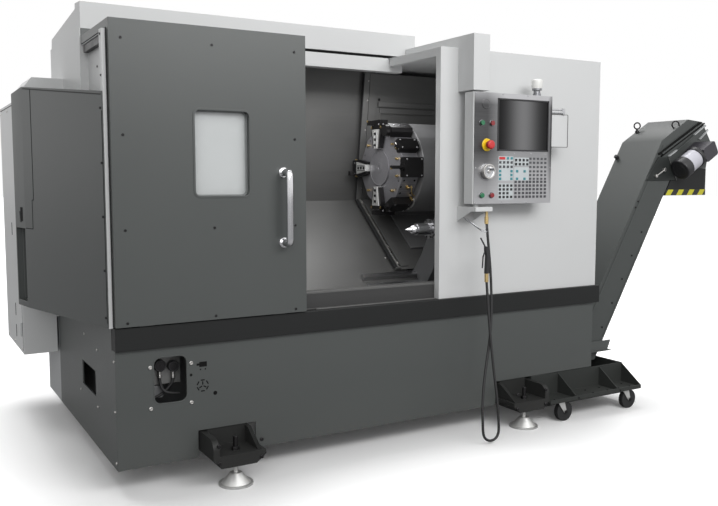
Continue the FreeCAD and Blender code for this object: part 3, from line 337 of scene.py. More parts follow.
def hazardStripes():
    # yellow bands leaning over black, worn at the edges
    stripe = Finish("hazardStripes", "black_paint", tone(200, 190, 40), 0.5)
    lean = stripe.axis("X") - stripe.axis("Z") * 0.75 + stripe.axis("Y")
    wear = stripe.noise(120, 3.0)
    band = ((lean + (wear - 0.5) * 0.004) % 0.1) > 0.052
    tint = stripe.blend(band, tone(34, 34, 32), tone(196, 190, 52))
    return stripe.patterned(tint, wear * 0.3 + 0.38, wear, 0.2, 0.0003)


clearPane = windowPane()
screen = screenGlass()
plateSteel = facePlateSteel()
turned = turretSteel()
stripes = hazardStripes()

print("air hose")


def tube(name, places, radius, around, along):
    # a round tube led smoothly past these places
    line = bpy.data.curves.new(name, "CURVE")
    line.dimensions = "3D"
    spline = line.splines.new("NURBS")
    spline.points.add(len(places) - 1)
    for point, place in zip(spline.points, places):
        point.co = (*place, 1)
    spline.order_u = 3
    spline.use_endpoint_u = True
    spline.resolution_u = along
    line.bevel_depth = radius / 1000
    line.bevel_resolution = around
    line.use_fill_caps = True
    piece = bpy.data.objects.new(name, line)
    bpy.context.collection.objects.link(piece)
    return piece


hoseSet = {
    "radius": 6.5,
    "length": 1.953,  # metres
    "route": [
        (1805, -131, 1101), (1812, -140, 985), (1818, -152, 860), (1817, -163, 736), (1812, -172, 631),
        (1793, -184, 508), (1764, -196, 400), (1739, -208, 290), (1724, -220, 190), (1720, -229, 116),
        (1720, -233, 46.5), (1747.5, -237, 19), (1786.5, -240, 19), (1814, -240, 46.5), (1814, -237, 118),
        (1807, -230, 230), (1796, -219, 348), (1784, -203, 512), (1775, -190, 678), (1772, -178, 817),
    ],
}


def airHose():
    route = [spot(*place) for place in hoseSet["route"]]
    hose = tube("airHoseLine", route, hoseSet["radius"], 5, 10)
    hose.data.materials.append(blackRubber)
    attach(hose, "machine")
    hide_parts("air_hose")


airHose()

print("finishes on the built parts")

edgeSet = {"segments": 2, "corner": 32}  # corners sharper than these degrees are rounded off


def only(piece):
    bpy.ops.object.select_all(action="DESELECT")
    piece.select_set(True)
    bpy.context.view_layer.objects.active = piece


def smoothOff(piece, edge):
    # rounded edges this many millimetres wide, then even shading across the flats
    only(piece)
    if edge:
        bevel = piece.modifiers.new("edges", "BEVEL")
        bevel.width = edge / 1000
        bevel.segments = edgeSet["segments"]
        bevel.limit_method = "ANGLE"
        bevel.angle_limit = math.radians(edgeSet["corner"])
        bpy.ops.object.modifier_apply(modifier="edges")
    bpy.ops.object.shade_smooth_by_angle(angle=math.radians(edgeSet["corner"] - 1))
    weighed = piece.modifiers.new("weighed", "WEIGHTED_NORMAL")
    weighed.keep_sharp = True
    bpy.ops.object.modifier_apply(modifier="weighed")


def paintOver(piece, finish):
    piece.data.materials.clear()
    piece.data.materials.append(finish)


def dress(node, finish, edge):
    # a CAD node gets its finish; with an edge it is shown by a copy with small rounded edges
    if not edge:
        paintOver(nodes[node], finish)
        return
    first, *rest = node.split("_")
    name = first + "".join(word.title() for word in rest) + "Skin"
    skin = bpy.data.objects.new(name, nodes[node].data.copy())
    bpy.context.collection.objects.link(skin)
    paintOver(skin, finish)
    only(skin)
    bpy.ops.object.mode_set(mode="EDIT")
    bpy.ops.mesh.select_all(action="SELECT")
    bpy.ops.mesh.remove_doubles(threshold=0.00002)
    bpy.ops.mesh.dissolve_limited(angle_limit=math.radians(0.5))
    bpy.ops.object.mode_set(mode="OBJECT")
    smoothOff(skin, edge)
    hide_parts(node)
    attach(skin, bodyOfNode[node])


dressSet = (
    # each finish, with its nodes and how wide their rounded edges are
    (charcoal, {"base_front_skirt": 1, "base_left_skirt": 0, "left_end_cover": 1.5, "door_shell": 1.2}),
    (pale, {"rear_cabinet": 2, "left_enclosure": 1.5, "right_enclosure": 1.5, "hood": 1.5, "header_beam": 1.2,
            "pendant_arm": 1.5, "pendant_bracket": 1, "pendant_case": 2, "document_holder": 0.8}),
    (silver, {"base_rear_skirt": 1}),
    (black, {"sill_rail": 2, "conveyor_chute": 1, "foot_brackets": 1.5}),
    (conveyorPaint, {"conveyor_body": 1}),
    (tankPaint, {"coolant_tank": 0.8}),
    (ironCast, {"bed_casting": 0, "headstock": 4, "saddle": 0, "tailstock_body": 2}),
    (blackOxide, {"tool_holders": 1.5}),
    (groundSteel, {"guide_ways": 0, "chuck": 1, "chuck_jaw_1": 1, "chuck_jaw_2": 1, "chuck_jaw_3": 1,
                   "tailstock_quill": 1, "live_centre": 0.8, "conveyor_shaft": 1}),
    (coverSheet, {"way_cover": 1}),
    (dullSteel, {"carriage_cover": 1}),
    (darkHousing, {"turret_housing": 2}),
    (turned, {"turret_disc": 1.5}),
    (plateSteel, {"pendant_faceplate": 0.8}),
    (beltSteel, {"conveyor_belt": 0}),
    (chromed, {"door_handle": 0.5}),
    (zinc, {"jog_wheel": 1}),
    (footZinc, {"wedge_clamps": 1, "caster_fork_left": 0.8, "caster_fork_right": 0.8, "levelling_feet": 0.8}),
    (brassMetal, {"coolant_nozzles": 0.8, "air_fittings": 0.6}),
    (motorPaint, {"conveyor_gearmotor": 2}),
    (clearPane, {"door_window": 0}),
    (screen, {"pendant_screen": 0}),
    (blackPlastic, {"air_gun": 2, "air_gun_lever": 0.8}),
    (blackRubber, {"caster_wheel_left": 3, "caster_wheel_right": 3}),
    (whitePlastic, {"beacon": 1.2}),
    (redPlastic, {"stop_knob": 3}),
    (redButton, {"power_off_button": 0.8, "feed_hold_button": 0.8}),
    (greenPlastic, {"power_on_button": 0.8, "cycle_start_button": 0.8}),
)

for finish, edges in dressSet:
    for node, edge in edges.items():
        dress(node, finish, edge)

print("small parts")


def settle(name):
    # what was just added gets its name, and its place goes into its mesh
    piece = bpy.context.object
    piece.name = name
    bpy.ops.object.transform_apply(location=True, rotation=True, scale=True)
    return piece


def turnedPlate(name, middle, size, turn=(0, 0, 0)):
    # a block of this size about its middle, turned by these degrees about X, Y and Z
    bpy.ops.object.select_all(action="DESELECT")
    angles = [math.radians(degrees) for degrees in turn]
    bpy.ops.mesh.primitive_cube_add(size=1, location=middle, rotation=angles, scale=Vector(size) / 1000)
    return settle(name)


def plate(name, low, high):
    # a block between two corners, in machine millimetres
    return turnedPlate(name, (spot(*low) + spot(*high)) / 2, Vector(high) - Vector(low))


def roundPart(name, base, towards, rings, sides=32):
    # a turned part drawn out ring by ring; a ring is how far from the base, and its radius
    bpy.ops.object.select_all(action="DESELECT")
    axis = Vector(towards).normalized()
    reach, radius = rings[0]
    centre = base + axis * reach / 1000
    bpy.ops.mesh.primitive_circle_add(vertices=sides, radius=radius / 1000, fill_type="NGON", location=centre,
                                      rotation=axis.to_track_quat("Z", "Y").to_euler())
    piece = settle(name)
    bpy.ops.object.mode_set(mode="EDIT")
    bpy.ops.mesh.select_all(action="SELECT")
    for reach, nextRadius in rings[1:]:
        place = base + axis * reach / 1000
        bpy.ops.mesh.extrude_region_move(TRANSFORM_OT_translate={"value": place - centre})
        bpy.ops.transform.resize(value=[nextRadius / radius] * 3, center_override=place)
        centre, radius = place, nextRadius
    bpy.ops.mesh.select_all(action="SELECT")
    bpy.ops.mesh.normals_make_consistent(inside=False)
    bpy.ops.object.mode_set(mode="OBJECT")
    return piece


def bentWire(name, places, radius, sides=3):
    piece = tube(name, places, radius, sides, 6)
    only(piece)
    bpy.ops.object.convert(target="MESH")
    return bpy.context.object


def choose(piece, test, kind="FACE"):
    # edit mode, with only the faces or edges picked that pass the test
    only(piece)
    bpy.ops.object.mode_set(mode="EDIT")
    bpy.ops.mesh.select_mode(type=kind)
    bpy.ops.mesh.select_all(action="DESELECT")
    bpy.ops.object.mode_set(mode="OBJECT")
    for item in piece.data.polygons if kind == "FACE" else piece.data.edges:
        item.select = test(item)
    bpy.ops.object.mode_set(mode="EDIT")


def facing(towards):
    # a test that picks the faces that look this way
    return lambda face: face.normal.dot(Vector(towards)) > 0.9


def gather(pieces):
    # several pieces of one finish become one object, named as the first
    bpy.ops.object.select_all(action="DESELECT")
    for piece in pieces:
        piece.select_set(True)
    bpy.context.view_layer.objects.active = pieces[0]
    if len(pieces) > 1:
        bpy.ops.object.join()
    return bpy.context.object


def complete(pieces, finish, body="machine", edge=0, stands=()):
    # rounded edges, shading, finish, and the body that it moves with
    piece = gather(pieces) if isinstance(pieces, list) else pieces
    paintOver(piece, finish)
    smoothOff(piece, edge)
    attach(piece, body)
    if stands:
        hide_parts(*stands)


def roundParts(*rows):
    # each row: name, base, way, rings, sides, finish, body, rounding, and the node it stands for if any
    for name, base, way, rings, sides, finish, body, edge, *stands in rows:
        complete(roundPart(name, base, way, rings, sides), finish, body, edge, stands)


def plates(*rows):
    # each row: name, two corners, finish and rounding, on the machine itself
    for name, low, high, finish, edge in rows:
        complete(plate(name, low, high), finish, edge=edge)


def repeat(master, name, places):
    # one object of copies of a small part made at the world's middle, each at its place, facing its way
    copies = []
    for place, way in places:
        copy = bpy.data.objects.new(name, master.data.copy())
        bpy.context.collection.objects.link(copy)
        copy.location = place
        copy.rotation_euler = Vector(way).to_track_quat("Z", "Y").to_euler()
        copies.append(copy)
    bpy.data.objects.remove(master)
    piece = gather(copies)
    piece.name = name
    bpy.ops.object.transform_apply(location=True, rotation=True, scale=True)
    return piece


def screwHead(radius, height, sides, socket):
    # a screw's head at the world's middle, with a hollow in its top
    bpy.ops.object.select_all(action="DESELECT")
    bpy.ops.mesh.primitive_cylinder_add(vertices=sides, radius=radius / 1000, depth=height / 1000,
                                        location=(0, 0, height / 2000))
    head = settle("screwHead")
    choose(head, facing(up))
    bpy.ops.mesh.inset(thickness=radius * 0.00016, depth=radius * 0.00012)
    if socket:
        bpy.ops.mesh.inset(thickness=radius * (0.84 - socket) / 1000)
        bpy.ops.mesh.inset(thickness=radius * 0.00004, depth=-height * 0.0007)
    bpy.ops.object.mode_set(mode="OBJECT")
    return head


def screws(name, places, radius, height, finish, body="machine", sides=14, socket=0.5):
    complete(repeat(screwHead(radius, height, sides, socket), name, places), finish, body)


def onFront(y, places):
    # screws' places on a face that looks to the front
    return [(spot(x, y, z), front) for x, z in places]


def onLeft(x, places):
    return [(spot(x, y, z), left) for y, z in places]


def ringPlate(name, low, high, rim, corner):
    # a flat frame seen from the front: its outer corners, the width of its rim, and its corners' radius
    piece = plate(name, low, high)
    points = [point.co.copy() for point in piece.data.vertices]

    def deep(edge):
        start, end = [points[number] for number in edge.vertices]
        return abs((end - start).normalized().y) > 0.9

    choose(piece, deep, "EDGE")
    bpy.ops.mesh.bevel(offset=corner / 1000, segments=6)
    bpy.ops.object.mode_set(mode="OBJECT")
    choose(piece, lambda face: abs(face.normal.y) > 0.9)
    bpy.ops.mesh.inset(thickness=rim / 1000)
    bpy.ops.mesh.bridge_edge_loops()
    bpy.ops.object.mode_set(mode="OBJECT")
    return piece


print("door details")

doorSet = {
    "face": -29.8,
    "screwColumns": (47, 422, 800),
    "screwRows": (1865, 1486, 1106, 729),
    "window": (340, 587, 1238, 1600),  # no screw stands inside it
    "gasket": 9,
    "handle": 745,
    "handleEnds": (1030, 1340),
    # how far back or in front, and height
    "bow": ((-29.8, 1340), (-60, 1340), (-88, 1340), (-92, 1318), (-92, 1290), (-92, 1240), (-92, 1130),
            (-92, 1080), (-92, 1052), (-88, 1030), (-60, 1030), (-29.8, 1030)),
}


def doorDetails():
    face, x = doorSet["face"], doorSet["handle"]
    first, last, low, high = doorSet["window"]
    places = [(x, z) for x in doorSet["screwColumns"] for z in doorSet["screwRows"]
              if not (first < x < last and low < z < high)]
    screws("doorScrews", onFront(face, places), 5.5, 2.6, blackOxide, "door")
    gasket = ringPlate("windowGasket", (334, -32.4, 1232), (593, -29.9, 1606), doorSet["gasket"], 30)
    complete(gasket, charcoal, "door", 0.8)
    reveal = ringPlate("windowReveal", (335, -29.9, 1233), (592, -1.2, 1605), 4, 29)
    complete(reveal, silver, "door", 0.5)
    stops = [plate("doorStop", (854.8, -16, z), (858.4, -5, z + 22)) for z in (737, 776)]
    complete(stops, blackRubber, "door", 1)
    bar = bentWire("doorHandleBar", [spot(x, y, z) for y, z in doorSet["bow"]], 16.5, 6)
    feet = [roundPart("handleFoot", spot(x, face, z), front, [(0, 23), (4, 23), (6.5, 20)])
            for z in doorSet["handleEnds"]]
    complete([bar] + feet, chromed, "door", stands=["door_handle"])


doorDetails()

print("turret details")

turretSet = {
    "wedges": (0, -90, 180),  # degrees from straight off the slant, clockwise as seen from the left end
    "wedgeScrews": (126, 156, 188),
    "hub": [(0, 99), (2.4, 99), (2.4, 95.5), (1.4, 94.5), (1.4, 30), (2.2, 29), (2.2, 12), (0.4, 11)],
    "rimScrews": (
        # distance from the axis, angle, places along the axis, offsets to the side
        (257.8, 90, (1641, 1736), (-44, 44)), (255.8, 60, (1628, 1722), (-24, 24)),
        (264.3, 30, (1636, 1672, 1708), (0,)), (255.8, 150, (1630, 1722), (-34, 34)),
    ),
    "stationHoles": ((1658, 40), (1658, -40), (1726, 40), (1726, -40), (1650, 0)),
    "brassTube": ((1690, 224, 120), (1690, 240, 118), (1694, 246, 113), (1700, 250, 122), (1716, 252, 127),
                  (1730, 250, 128)),
    "hook": ((1738, 246, 134), (1744, 262, 136), (1744, 266, 146, 4), (1730, 264, 151, 6)),
    "inserts": (
        # place on the turret, size, turn
        ((1574, 256, 0, 41), (14, 6, 10), (0, 35, 0)), ((1602, 236, 60, -14), (12, 16, 5), (60, 20, 0)),
        ((1554, 236, 90, -8), (10, 5, 9), (90, 30, 0)),
    ),
    "clamps": (
        ((1612, 232, 60, 6), (5, 30, 4), (60, 0, 40)), ((1616, 238, 60, -16), (5, 18, 4), (60, 0, -35)),
    ),
}


def onTurret(x, reach, angle, aside=0):
    # a place on the turret: how far out from its axis, at which angle, and how far to the side
    return onSlant(x, turretAxis) + leaning(angle, reach, aside)


def turretDetails():
    wedges = turretSet["wedges"]
    places = [(onTurret(1597.8, reach, angle), left)
              for angle in wedges for reach in turretSet["wedgeScrews"]]
    screws("wedgeScrews", places, 8.5, 2.2, blackOxide, "turret", socket=0.55)
    ribs = [turnedPlate("wedgeRib", onTurret(1597.4, 158, angle, aside), (2.2, 5, 92), (angle, 0, 0))
            for angle in wedges for aside in (-13.5, 13.5)]
    complete(ribs, chromed, "turret", 0.8)
    roundParts(("turretHub", onTurret(1626.2, 0, 0), left, turretSet["hub"], 48, turned, "turret", 0.4))

    places = []
    for angle in wedges:
        places += [(onTurret(1603.8, 238, angle, aside), left) for aside in (-30, 30)]
        places += [(onTurret(1622, 240, angle, 46 * side), leaning(angle, 0, side)) for side in (1, -1)]
    for reach, angle, along, asides in turretSet["rimScrews"]:
        places += [(onTurret(x, reach, angle, aside), leaning(angle, 1)) for x in along for aside in asides]
    screws("holderScrews", places, 4.8, 2.2, groundSteel, "turret", socket=0.55)

    # threaded holes of the empty station and of the bare rim beside it
    places = [(onTurret(x, 211.9, 120, aside), leaning(120, 1)) for x, aside in turretSet["stationHoles"]]
    places += [(onTurret(1639, 190, angle, aside), left) for angle in (120, -30, -60) for aside in (-26, 26)]
    screws("emptyStationHoles", places, 6, 0.8, blackOxide, "turret", socket=0.7)

    # coolant fittings of the empty station, and the tools' bright inserts
    brass = [roundPart("brassStub", onTurret(1690, 211.8, 120), leaning(120, 1),
                       [(0, 11), (6, 11), (6, 8), (16, 8), (18, 6)], 6),
             roundPart("brassStub", onTurret(1738, 222, 138), leaning(126, 1),
                       [(0, 9), (10, 9), (10, 7), (26, 7), (28, 5)], 12),
             bentWire("brassTube", [onTurret(*place) for place in turretSet["brassTube"]], 4)]
    brass += [turnedPlate("insert", onTurret(1606, 222, angle, aside), (12, 5, 11.2), (angle, 25, 12))
              for angle in wedges for aside in (-48, 48)]
    brass += [turnedPlate("insert", onTurret(*place), size, turn)
              for place, size, turn in turretSet["inserts"]]
    complete(brass, brassMetal, "turret", 0.6)
    hook = [bentWire("steelHook", [onTurret(*place) for place in turretSet["hook"]], 4.5)]
    hook += [turnedPlate("insertClamp", onTurret(*place), size, turn)
             for place, size, turn in turretSet["clamps"]]
    complete(hook, zinc, "turret", 0.5)


turretDetails()

print("carriage, covers and tailstock details")

insideSet = {
    "cover": -345.5,       # how far the moving cover's front stands off the spindle line
    "fixedCover": -361.7,
    "bend": 626.5,         # where that cover turns from the slant into the back wall
    "wallLean": 8,         # degrees that the wall leans to the front
    "wiperEnd": 1920,
    "boss": (2180, 1500),
    "plates": (
        # front edge of the fixed cover, its apron, and the door's lower track
        ("trayApron", (600.4, 38.4, 714), (1609, 40.8, 783), trayPaint, 0.6),
        ("trayEdge", (860, 37.6, 780), (1609, 44, 789.6), coverSheet, 1),
        ("doorTrack", (930, 20, 707.8), (1609, 36, 711.6), dullSteel, 0.8),
    ),
    "edgeScrews": ((1616, -90), (1643, 149), (1668, 20), (1040, -92), (860, -92)),
}


def onWall(x, z, out=0):
    # a place on the moving cover's upper part
    low = onSlant(x, insideSet["bend"], insideSet["cover"])
    rise = (spot(x, 0, z).z - low.z) * 1000 / math.cos(math.radians(insideSet["wallLean"]))
    return low + leaning(insideSet["wallLean"], rise, -out)


def wallPlate(name, x0, x1, z0, z1, out):
    lean = insideSet["wallLean"]
    middle = (onWall(x0, z0, out / 2) + onWall(x1, z1, out / 2)) / 2
    return turnedPlate(name, middle, (x1 - x0, out, (z1 - z0) / math.cos(math.radians(lean))), (lean, 0, 0))


def slantPlate(name, x0, x1, u0, u1, out):
    middle = onSlant((x0 + x1) / 2, (u0 + u1) / 2, insideSet["cover"] + out / 2)
    return turnedPlate(name, middle, (x1 - x0, u1 - u0, out), (slant, 0, 0))


def insideDetails():
    top, cover, offSlant = insideSet["wiperEnd"], insideSet["cover"], leaning(slant, 1)
    # the wiper's rubber lip and its clamping strip
    lip = [wallPlate("wiperLip", 1646, 1664, 1192, top, 13), slantPlate("wiperLip", 1646, 1664, 48, 624, 13)]
    complete(lip, blackRubber, "carriage", 2)
    clamp = [wallPlate("wiperClamp", 1672, 1684, 1195, top, 14),
             slantPlate("wiperClamp", 1672, 1684, 52, 622, 14)]
    complete(clamp, zinc, "carriage", 2)
    places = [(onWall(1678, z, 13.8), front) for z in (1260, 1430, 1600, 1770, 1880)]
    places += [(onSlant(1678, u, cover + 13.8), offSlant) for u in (80, 210, 340, 470, 590)]
    screws("wiperScrews", places, 4.5, 2.2, zinc, "carriage")
    # upright flange, ledges and the panel round the turret's slide
    ledges = [wallPlate("coverFlange", 1694, 1748, 1200, 1922, 5),
              slantPlate("coverFlange", 1694, 1748, 60, 615, 5),
              wallPlate("coverLedge", 1756, 2500, 1738, 1766, 16),
              wallPlate("coverLedge", 1772, 2500, 1700, 1730, 8),
              wallPlate("coverPanel", 1772, 1784, 1230, 1700, 6)]
    complete(ledges, dullSteel, "carriage", 1.5)
    x, z = insideSet["boss"]
    boss = roundPart("coverBoss", onWall(x, z, -0.2), front, [(0, 24), (5, 24), (5, 17), (1, 16)], 24)
    complete(boss, dullSteel, "carriage", 0.8)
    places = [(onWall(x, z, 1), front), (onWall(1765, 1778), front)]
    screws("coverScrews", places, 8, 3, blackOxide, "carriage", socket=0.6)
    plates(*insideSet["plates"])
    places = [(onSlant(x, u, insideSet["fixedCover"]), offSlant) for x, u in insideSet["edgeScrews"]]
    screws("coverEdgeScrews", places, 5.5, 2.4, zinc)


insideDetails()

tailstockSet = {
    "tip": 1545,
    "nose": [(0, 0.6), (30, 14), (34, 14.5), (36, 18), (52, 27), (66, 27), (68, 25), (74, 25), (76, 31),
             (147, 31), (147, 10)],
    "flange": 1693,
    "flangeRings": [(0, 34), (0, 52), (9, 52), (9, 40.2), (20, 40.2)],
    "flangeScrews": 8,
    "cap": 1765.2,
    "capRings": [(0, 68), (6, 68), (8, 64), (8, 41), (2, 41)],
}


def tailstockDetails():
    tip, flange, cap = [onSlant(tailstockSet[part]) for part in ("tip", "flange", "cap")]
    roundParts(("centreNose", tip, right, tailstockSet["nose"], 40, chromed, "centre", 0.6, "live_centre"),
               ("quillFlange", flange, right, tailstockSet["flangeRings"], 40, groundSteel, "quill", 1),
               ("tailstockCap", cap, left, tailstockSet["capRings"], 40, groundSteel, "tailstock", 1))
    count = tailstockSet["flangeScrews"]
    face = onSlant(tailstockSet["flange"] + 0.2)
    places = [(face + leaning(360 / count * step + 20, 0, 45.5), left) for step in range(count)]
    screws("quillFlangeScrews", places, 4.5, 3.5, blackOxide, "quill")


tailstockDetails()

print("operator's pendant")

pendantSet = {
    "face": -126,
    "keyColumns": (1891, 1915.5, 1940, 1964.5, 1993.5, 2018.5, 2043.5, 2068.5, 2090, 2115, 2140.5, 2166.5,
                   2192),
    "keyRows": (1415.5, 1395, 1373, 1351, 1332, 1313, 1297.5, 1278.5, 1259.5, 1240.5, 1221.5),
    "keys": (
        # one letter for each key from the left: black, charcoal, grey or teal
        "..ttbbbbggggg", "ccccbbbbggggg", "cccc....ggggg", "t..tt.t.ggggg", "t..t....ggggg", "t..tt.t.ggggg",
        "....ccccccccc", "bbbbccccccccc", "bbbbccccccccc", "bbb.ccccccccc", "bbbbccccccccc",
    ),
    "keySize": (15, 13, 2.2),
    "fields": ((1880, 1976, 1208, 1290), (1880, 1976, 1303, 1425), (1982, 2080, 1304, 1372),
               (1982, 2080, 1378, 1420)),
    "buttons": ((1771, 1587), (1834, 1587), (1774, 1231), (1836, 1231)),
    "rounds": (
        # name, place, how far it stands out, rings, sides, finish, body, rounding, node that it stands for
        ("stopRing", (1804, 1480), 0, [(0, 31), (3, 31), (5, 28), (5, 23), (3.5, 22)], 40,
         yellowPlastic, "pendant", 0.5),
        ("stopCollar", (1804, 1480), 3.2, [(0, 18), (13, 16), (14, 15), (14, 11.5)], 32,
         yellowPlastic, "pendant", 0.4),
        ("stopCap", (1804, 1480), 15.2,
         [(0, 12), (5, 13), (8, 20), (13, 22.5), (21, 22), (26, 18), (28, 10)], 40,
         redPlastic, "emergency_stop", 0.8, "stop_knob"),
        # crank wheel with its dished face and turning knob
        ("crankWheel", (1806, 1349), 2.2,
         [(0, 31), (4, 34), (15, 34), (19, 32), (20, 29), (17.5, 26), (16.5, 10), (19, 9), (19, 5)], 48,
         satinSilver, "handwheel", 0.6, "jog_wheel"),
        ("crankKnob", (1817, 1361), 19.2, [(0, 5), (6, 5), (8, 7.5), (14, 8), (17, 6.5), (18, 3)], 20,
         dialSteel, "handwheel", 0.5),
        ("blankPlug", (1797, 1681), 0, [(0, 26), (1.6, 26), (2.4, 25), (2.4, 22), (1.8, 21)], 40,
         plateSteel, "pendant", 0.4),
    ),
    "bezel": [(0, 15.5), (2, 15.5), (3, 14.5), (3, 12.6), (1, 12.6)],
    "dial": [(0, 41), (1.5, 41), (2, 40), (2, 36)],
    "screws": ((1903, 1731), (2066, 1731), (2222, 1731), (1982, 1439.5), (2095, 1439.5), (2189, 1439.5),
               (1902, 1194), (2067, 1194), (2224, 1194), (1736, 1366), (2225, 1368), (1736, 1194),
               (1736, 1731)),
    "hook": ((1716, -60, 1120), (1712, -80, 1116), (1720, -104, 1104), (1742, -122, 1082),
             (1768, -134, 1062), (1788, -140, 1058), (1796, -146, 1070), (1790, -148, 1084)),
}


def keyCaps(name, places, shrink=1.0, width=None):
    # keys with a shoulder and a slightly sunken top
    wide, tall, rise = pendantSet["keySize"]
    size = ((width or wide) * shrink, tall * shrink, rise)
    cap = turnedPlate("keyCap", (0, 0, rise / 2000), size)
    choose(cap, facing(up))
    bpy.ops.mesh.inset(thickness=0.0012, depth=0.0009)
    bpy.ops.mesh.inset(thickness=0.0016, depth=-0.0004)
    bpy.ops.object.mode_set(mode="OBJECT")
    return repeat(cap, name, onFront(pendantSet["face"] + 0.2, places))


def keyboard():
    looks = {"b": ("darkKeys", keyBlack, 0.96), "t": ("tealKeys", keyTeal, 0.96),
             "c": ("midKeys", keyCharcoal, 0.96), "g": ("greyKeys", keyGrey, 0.84)}
    places = {letter: [] for letter in looks}
    for row, (z, letters) in enumerate(zip(pendantSet["keyRows"], pendantSet["keys"])):
        for column, (x, letter) in enumerate(zip(pendantSet["keyColumns"], letters)):
            middleBlock = 3 < column < 8
            if letter in looks:
                # in the middle block the first rows stand lower, and the teal keys further right
                places[letter].append((x + 8 if middleBlock and letter == "t" else x,
                                       z - 8 if middleBlock and row < 2 else z))
    for letter, (name, finish, shrink) in looks.items():
        complete(keyCaps(name, places[letter], shrink), finish, "pendant")
    complete(keyCaps("resetKey", [(1903, pendantSet["keyRows"][0])], width=38), redPlastic, "pendant")
    # the printed fields round some of the keys
    fields = [plate("keyField", (x0, -126.7, z0), (x1, -125.9, z1))
              for x0, x1, z0, z1 in pendantSet["fields"]]
    complete(fields, keyField, "pendant", 0.3)


def onPlate(place, out=0.0):
    # a place on the pendant's face plate, standing out by some millimetres
    return spot(place[0], pendantSet["face"] + 0.2 - out, place[1])


def pendantDetails():
    for name, place, out, *row in pendantSet["rounds"]:
        roundParts((name, onPlate(place, out), front, *row))
    bezels = [roundPart("buttonBezel", onPlate(place), front, pendantSet["bezel"], 28)
              for place in pendantSet["buttons"]]
    bezels.append(roundPart("wheelDial", onPlate((1806, 1349)), front, pendantSet["dial"], 48))
    complete(bezels, dialSteel, "pendant", 0.4)
    screws("faceplateScrews", onFront(-125.9, pendantSet["screws"]), 3.6, 1.4, groundSteel, "pendant")
    rim = ringPlate("screenBezel", (1871, -128.6, 1452), (2209, -125.6, 1712), 7, 3)
    complete(rim, blackPlastic, "pendant", 0.8)


def beaconDetails():
    # the beacon's foot and lens, in shares of its CAD box
    low, high = [Vector(corner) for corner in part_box("beacon")]
    base = Vector(((low.x + high.x) / 2, (low.y + high.y) / 2, low.z))
    tall, wide = (high.z - low.z) * 1000, (high.x - low.x) * 500
    stemRings, lensRings = [[(tall * share, wide * radius) for share, radius in rings] for rings in (
        ((0, 0.95), (0.16, 0.95), (0.18, 0.8), (0.32, 0.8), (0.34, 1.15), (0.48, 1.15)),
        ((0, 1.2), (0.14, 1.3), (0.4, 1.35), (0.49, 1.25), (0.53, 1)))]
    lens = base + Vector((0, 0, tall * 0.00046))
    roundParts(("beaconStem", base, up, stemRings, 28, dialSteel, "pendant", 0.6),
               ("beaconLens", lens, up, lensRings, 32, whitePlastic, "pendant", 1, "beacon"))


def pendantFittings():
    bars = [roundPart("documentBar", spot(2236, -109, z), right, [(0, 6.5), (96, 6.5), (98, 5)], 20)
            for z in (1657, 1671)]
    bars.append(plate("documentClip", (2318, -117, 1648), (2334, -103, 1680)))
    complete(bars, satinSilver, "pendant", 1.2)
    rim = ringPlate("documentRim", (2244, -109, 1477), (2364, -106.6, 1650), 3.4, 8)
    complete(rim, dullSteel, "pendant", 0.3)
    # wire loops under the bracket that the air line hangs from
    hooks = [bentWire("hoseHook", [spot(x + shift, y, z - shift) for x, y, z in pendantSet["hook"]], 2)
             for shift in (0, 10)]
    complete(hooks, dialSteel, bodyOfNode["pendant_bracket"])


keyboard()
pendantDetails()
beaconDetails()
pendantFittings()

print("conveyor details")

conveyorSet = {
    "side": 100,                               # Y of its front side
    "motor": (3640, 33, 1480),
    "motorTilt": 30,
    "takeUp": ((3321, 1304), (3408, 1446)),    # corners of the take-up plate before its foot is widened
    "takeUpFoot": (3213, 3489),
    "eyes": ((3502, 124, 1618, 22), (3463, 390, 1626, 20)),
    "screws": ((3117, 850), (3039, 712), (2960, 572), (3157, 1177), (3137, 1141), (2880, 432), (3197, 990)),
    "bars": (
        # name, finish, rounding, then each bar's start, end, width and how far it stands out
        # the black flange bars are painted shadow under the head's lid
        ("headFlangeShadow", seamAndShadowPaint, 1, ((3322, 1463), (3700, 1668), 10, 12), ((3346, 1450), (3740, 1664), 9, 8),
         ((3706, 1566), (3775, 1625), 9, 6)),
        ("headLid", conveyorPaint, 1.2, ((3345, 1466), (3700, 1658), 9, 17),
         ((3484, 1489), (3744, 1648), 7, 13)),
        # the silver edge bars are painted highlights along the head's edges
        ("headEdgeHighlight", silver, 1.2, ((3408, 1451), (3479, 1490), 7, 16), ((3640, 1588), (3744, 1652), 7, 15),
         ((3694, 1562), (3768, 1620), 6, 15)),
        ("slopeEdge", conveyorPaint, 1, ((2768, 480), (3368, 1519), 9, 3), ((2846, 300), (3210, 931), 9, 3)),
    ),
    "motorParts": (
        # name, how far along its axis, rings, finish, rounding
        ("motorCan", 80.5, [(0, 61), (93, 61), (93, 58)], canPaint, 0.8),
        ("motorFanCap", 172.5, [(0, 64.5), (4, 66), (50, 66), (56, 63), (59, 57), (59, 44), (57, 42),
                                (57, 40), (59, 39), (59, 12), (57.5, 11)], blackPlastic, 1),
        ("motorCollar", 55, [(0, 67), (4, 69), (20, 69), (25, 66)], blackPlastic, 1),
    ),
}


def slopeBar(name, start, end, width, out, side=conveyorSet["side"]):
    # a flat bar on the conveyor's side from one place to another, standing out by some millimetres
    a, b = spot(start[0], side - out / 2, start[1]), spot(end[0], side - out / 2, end[1])
    run = b - a
    climb = math.degrees(math.atan2(run.z, run.x))
    return turnedPlate(name, (a + b) / 2, (run.length * 1000, out, width), (0, -climb, 0))


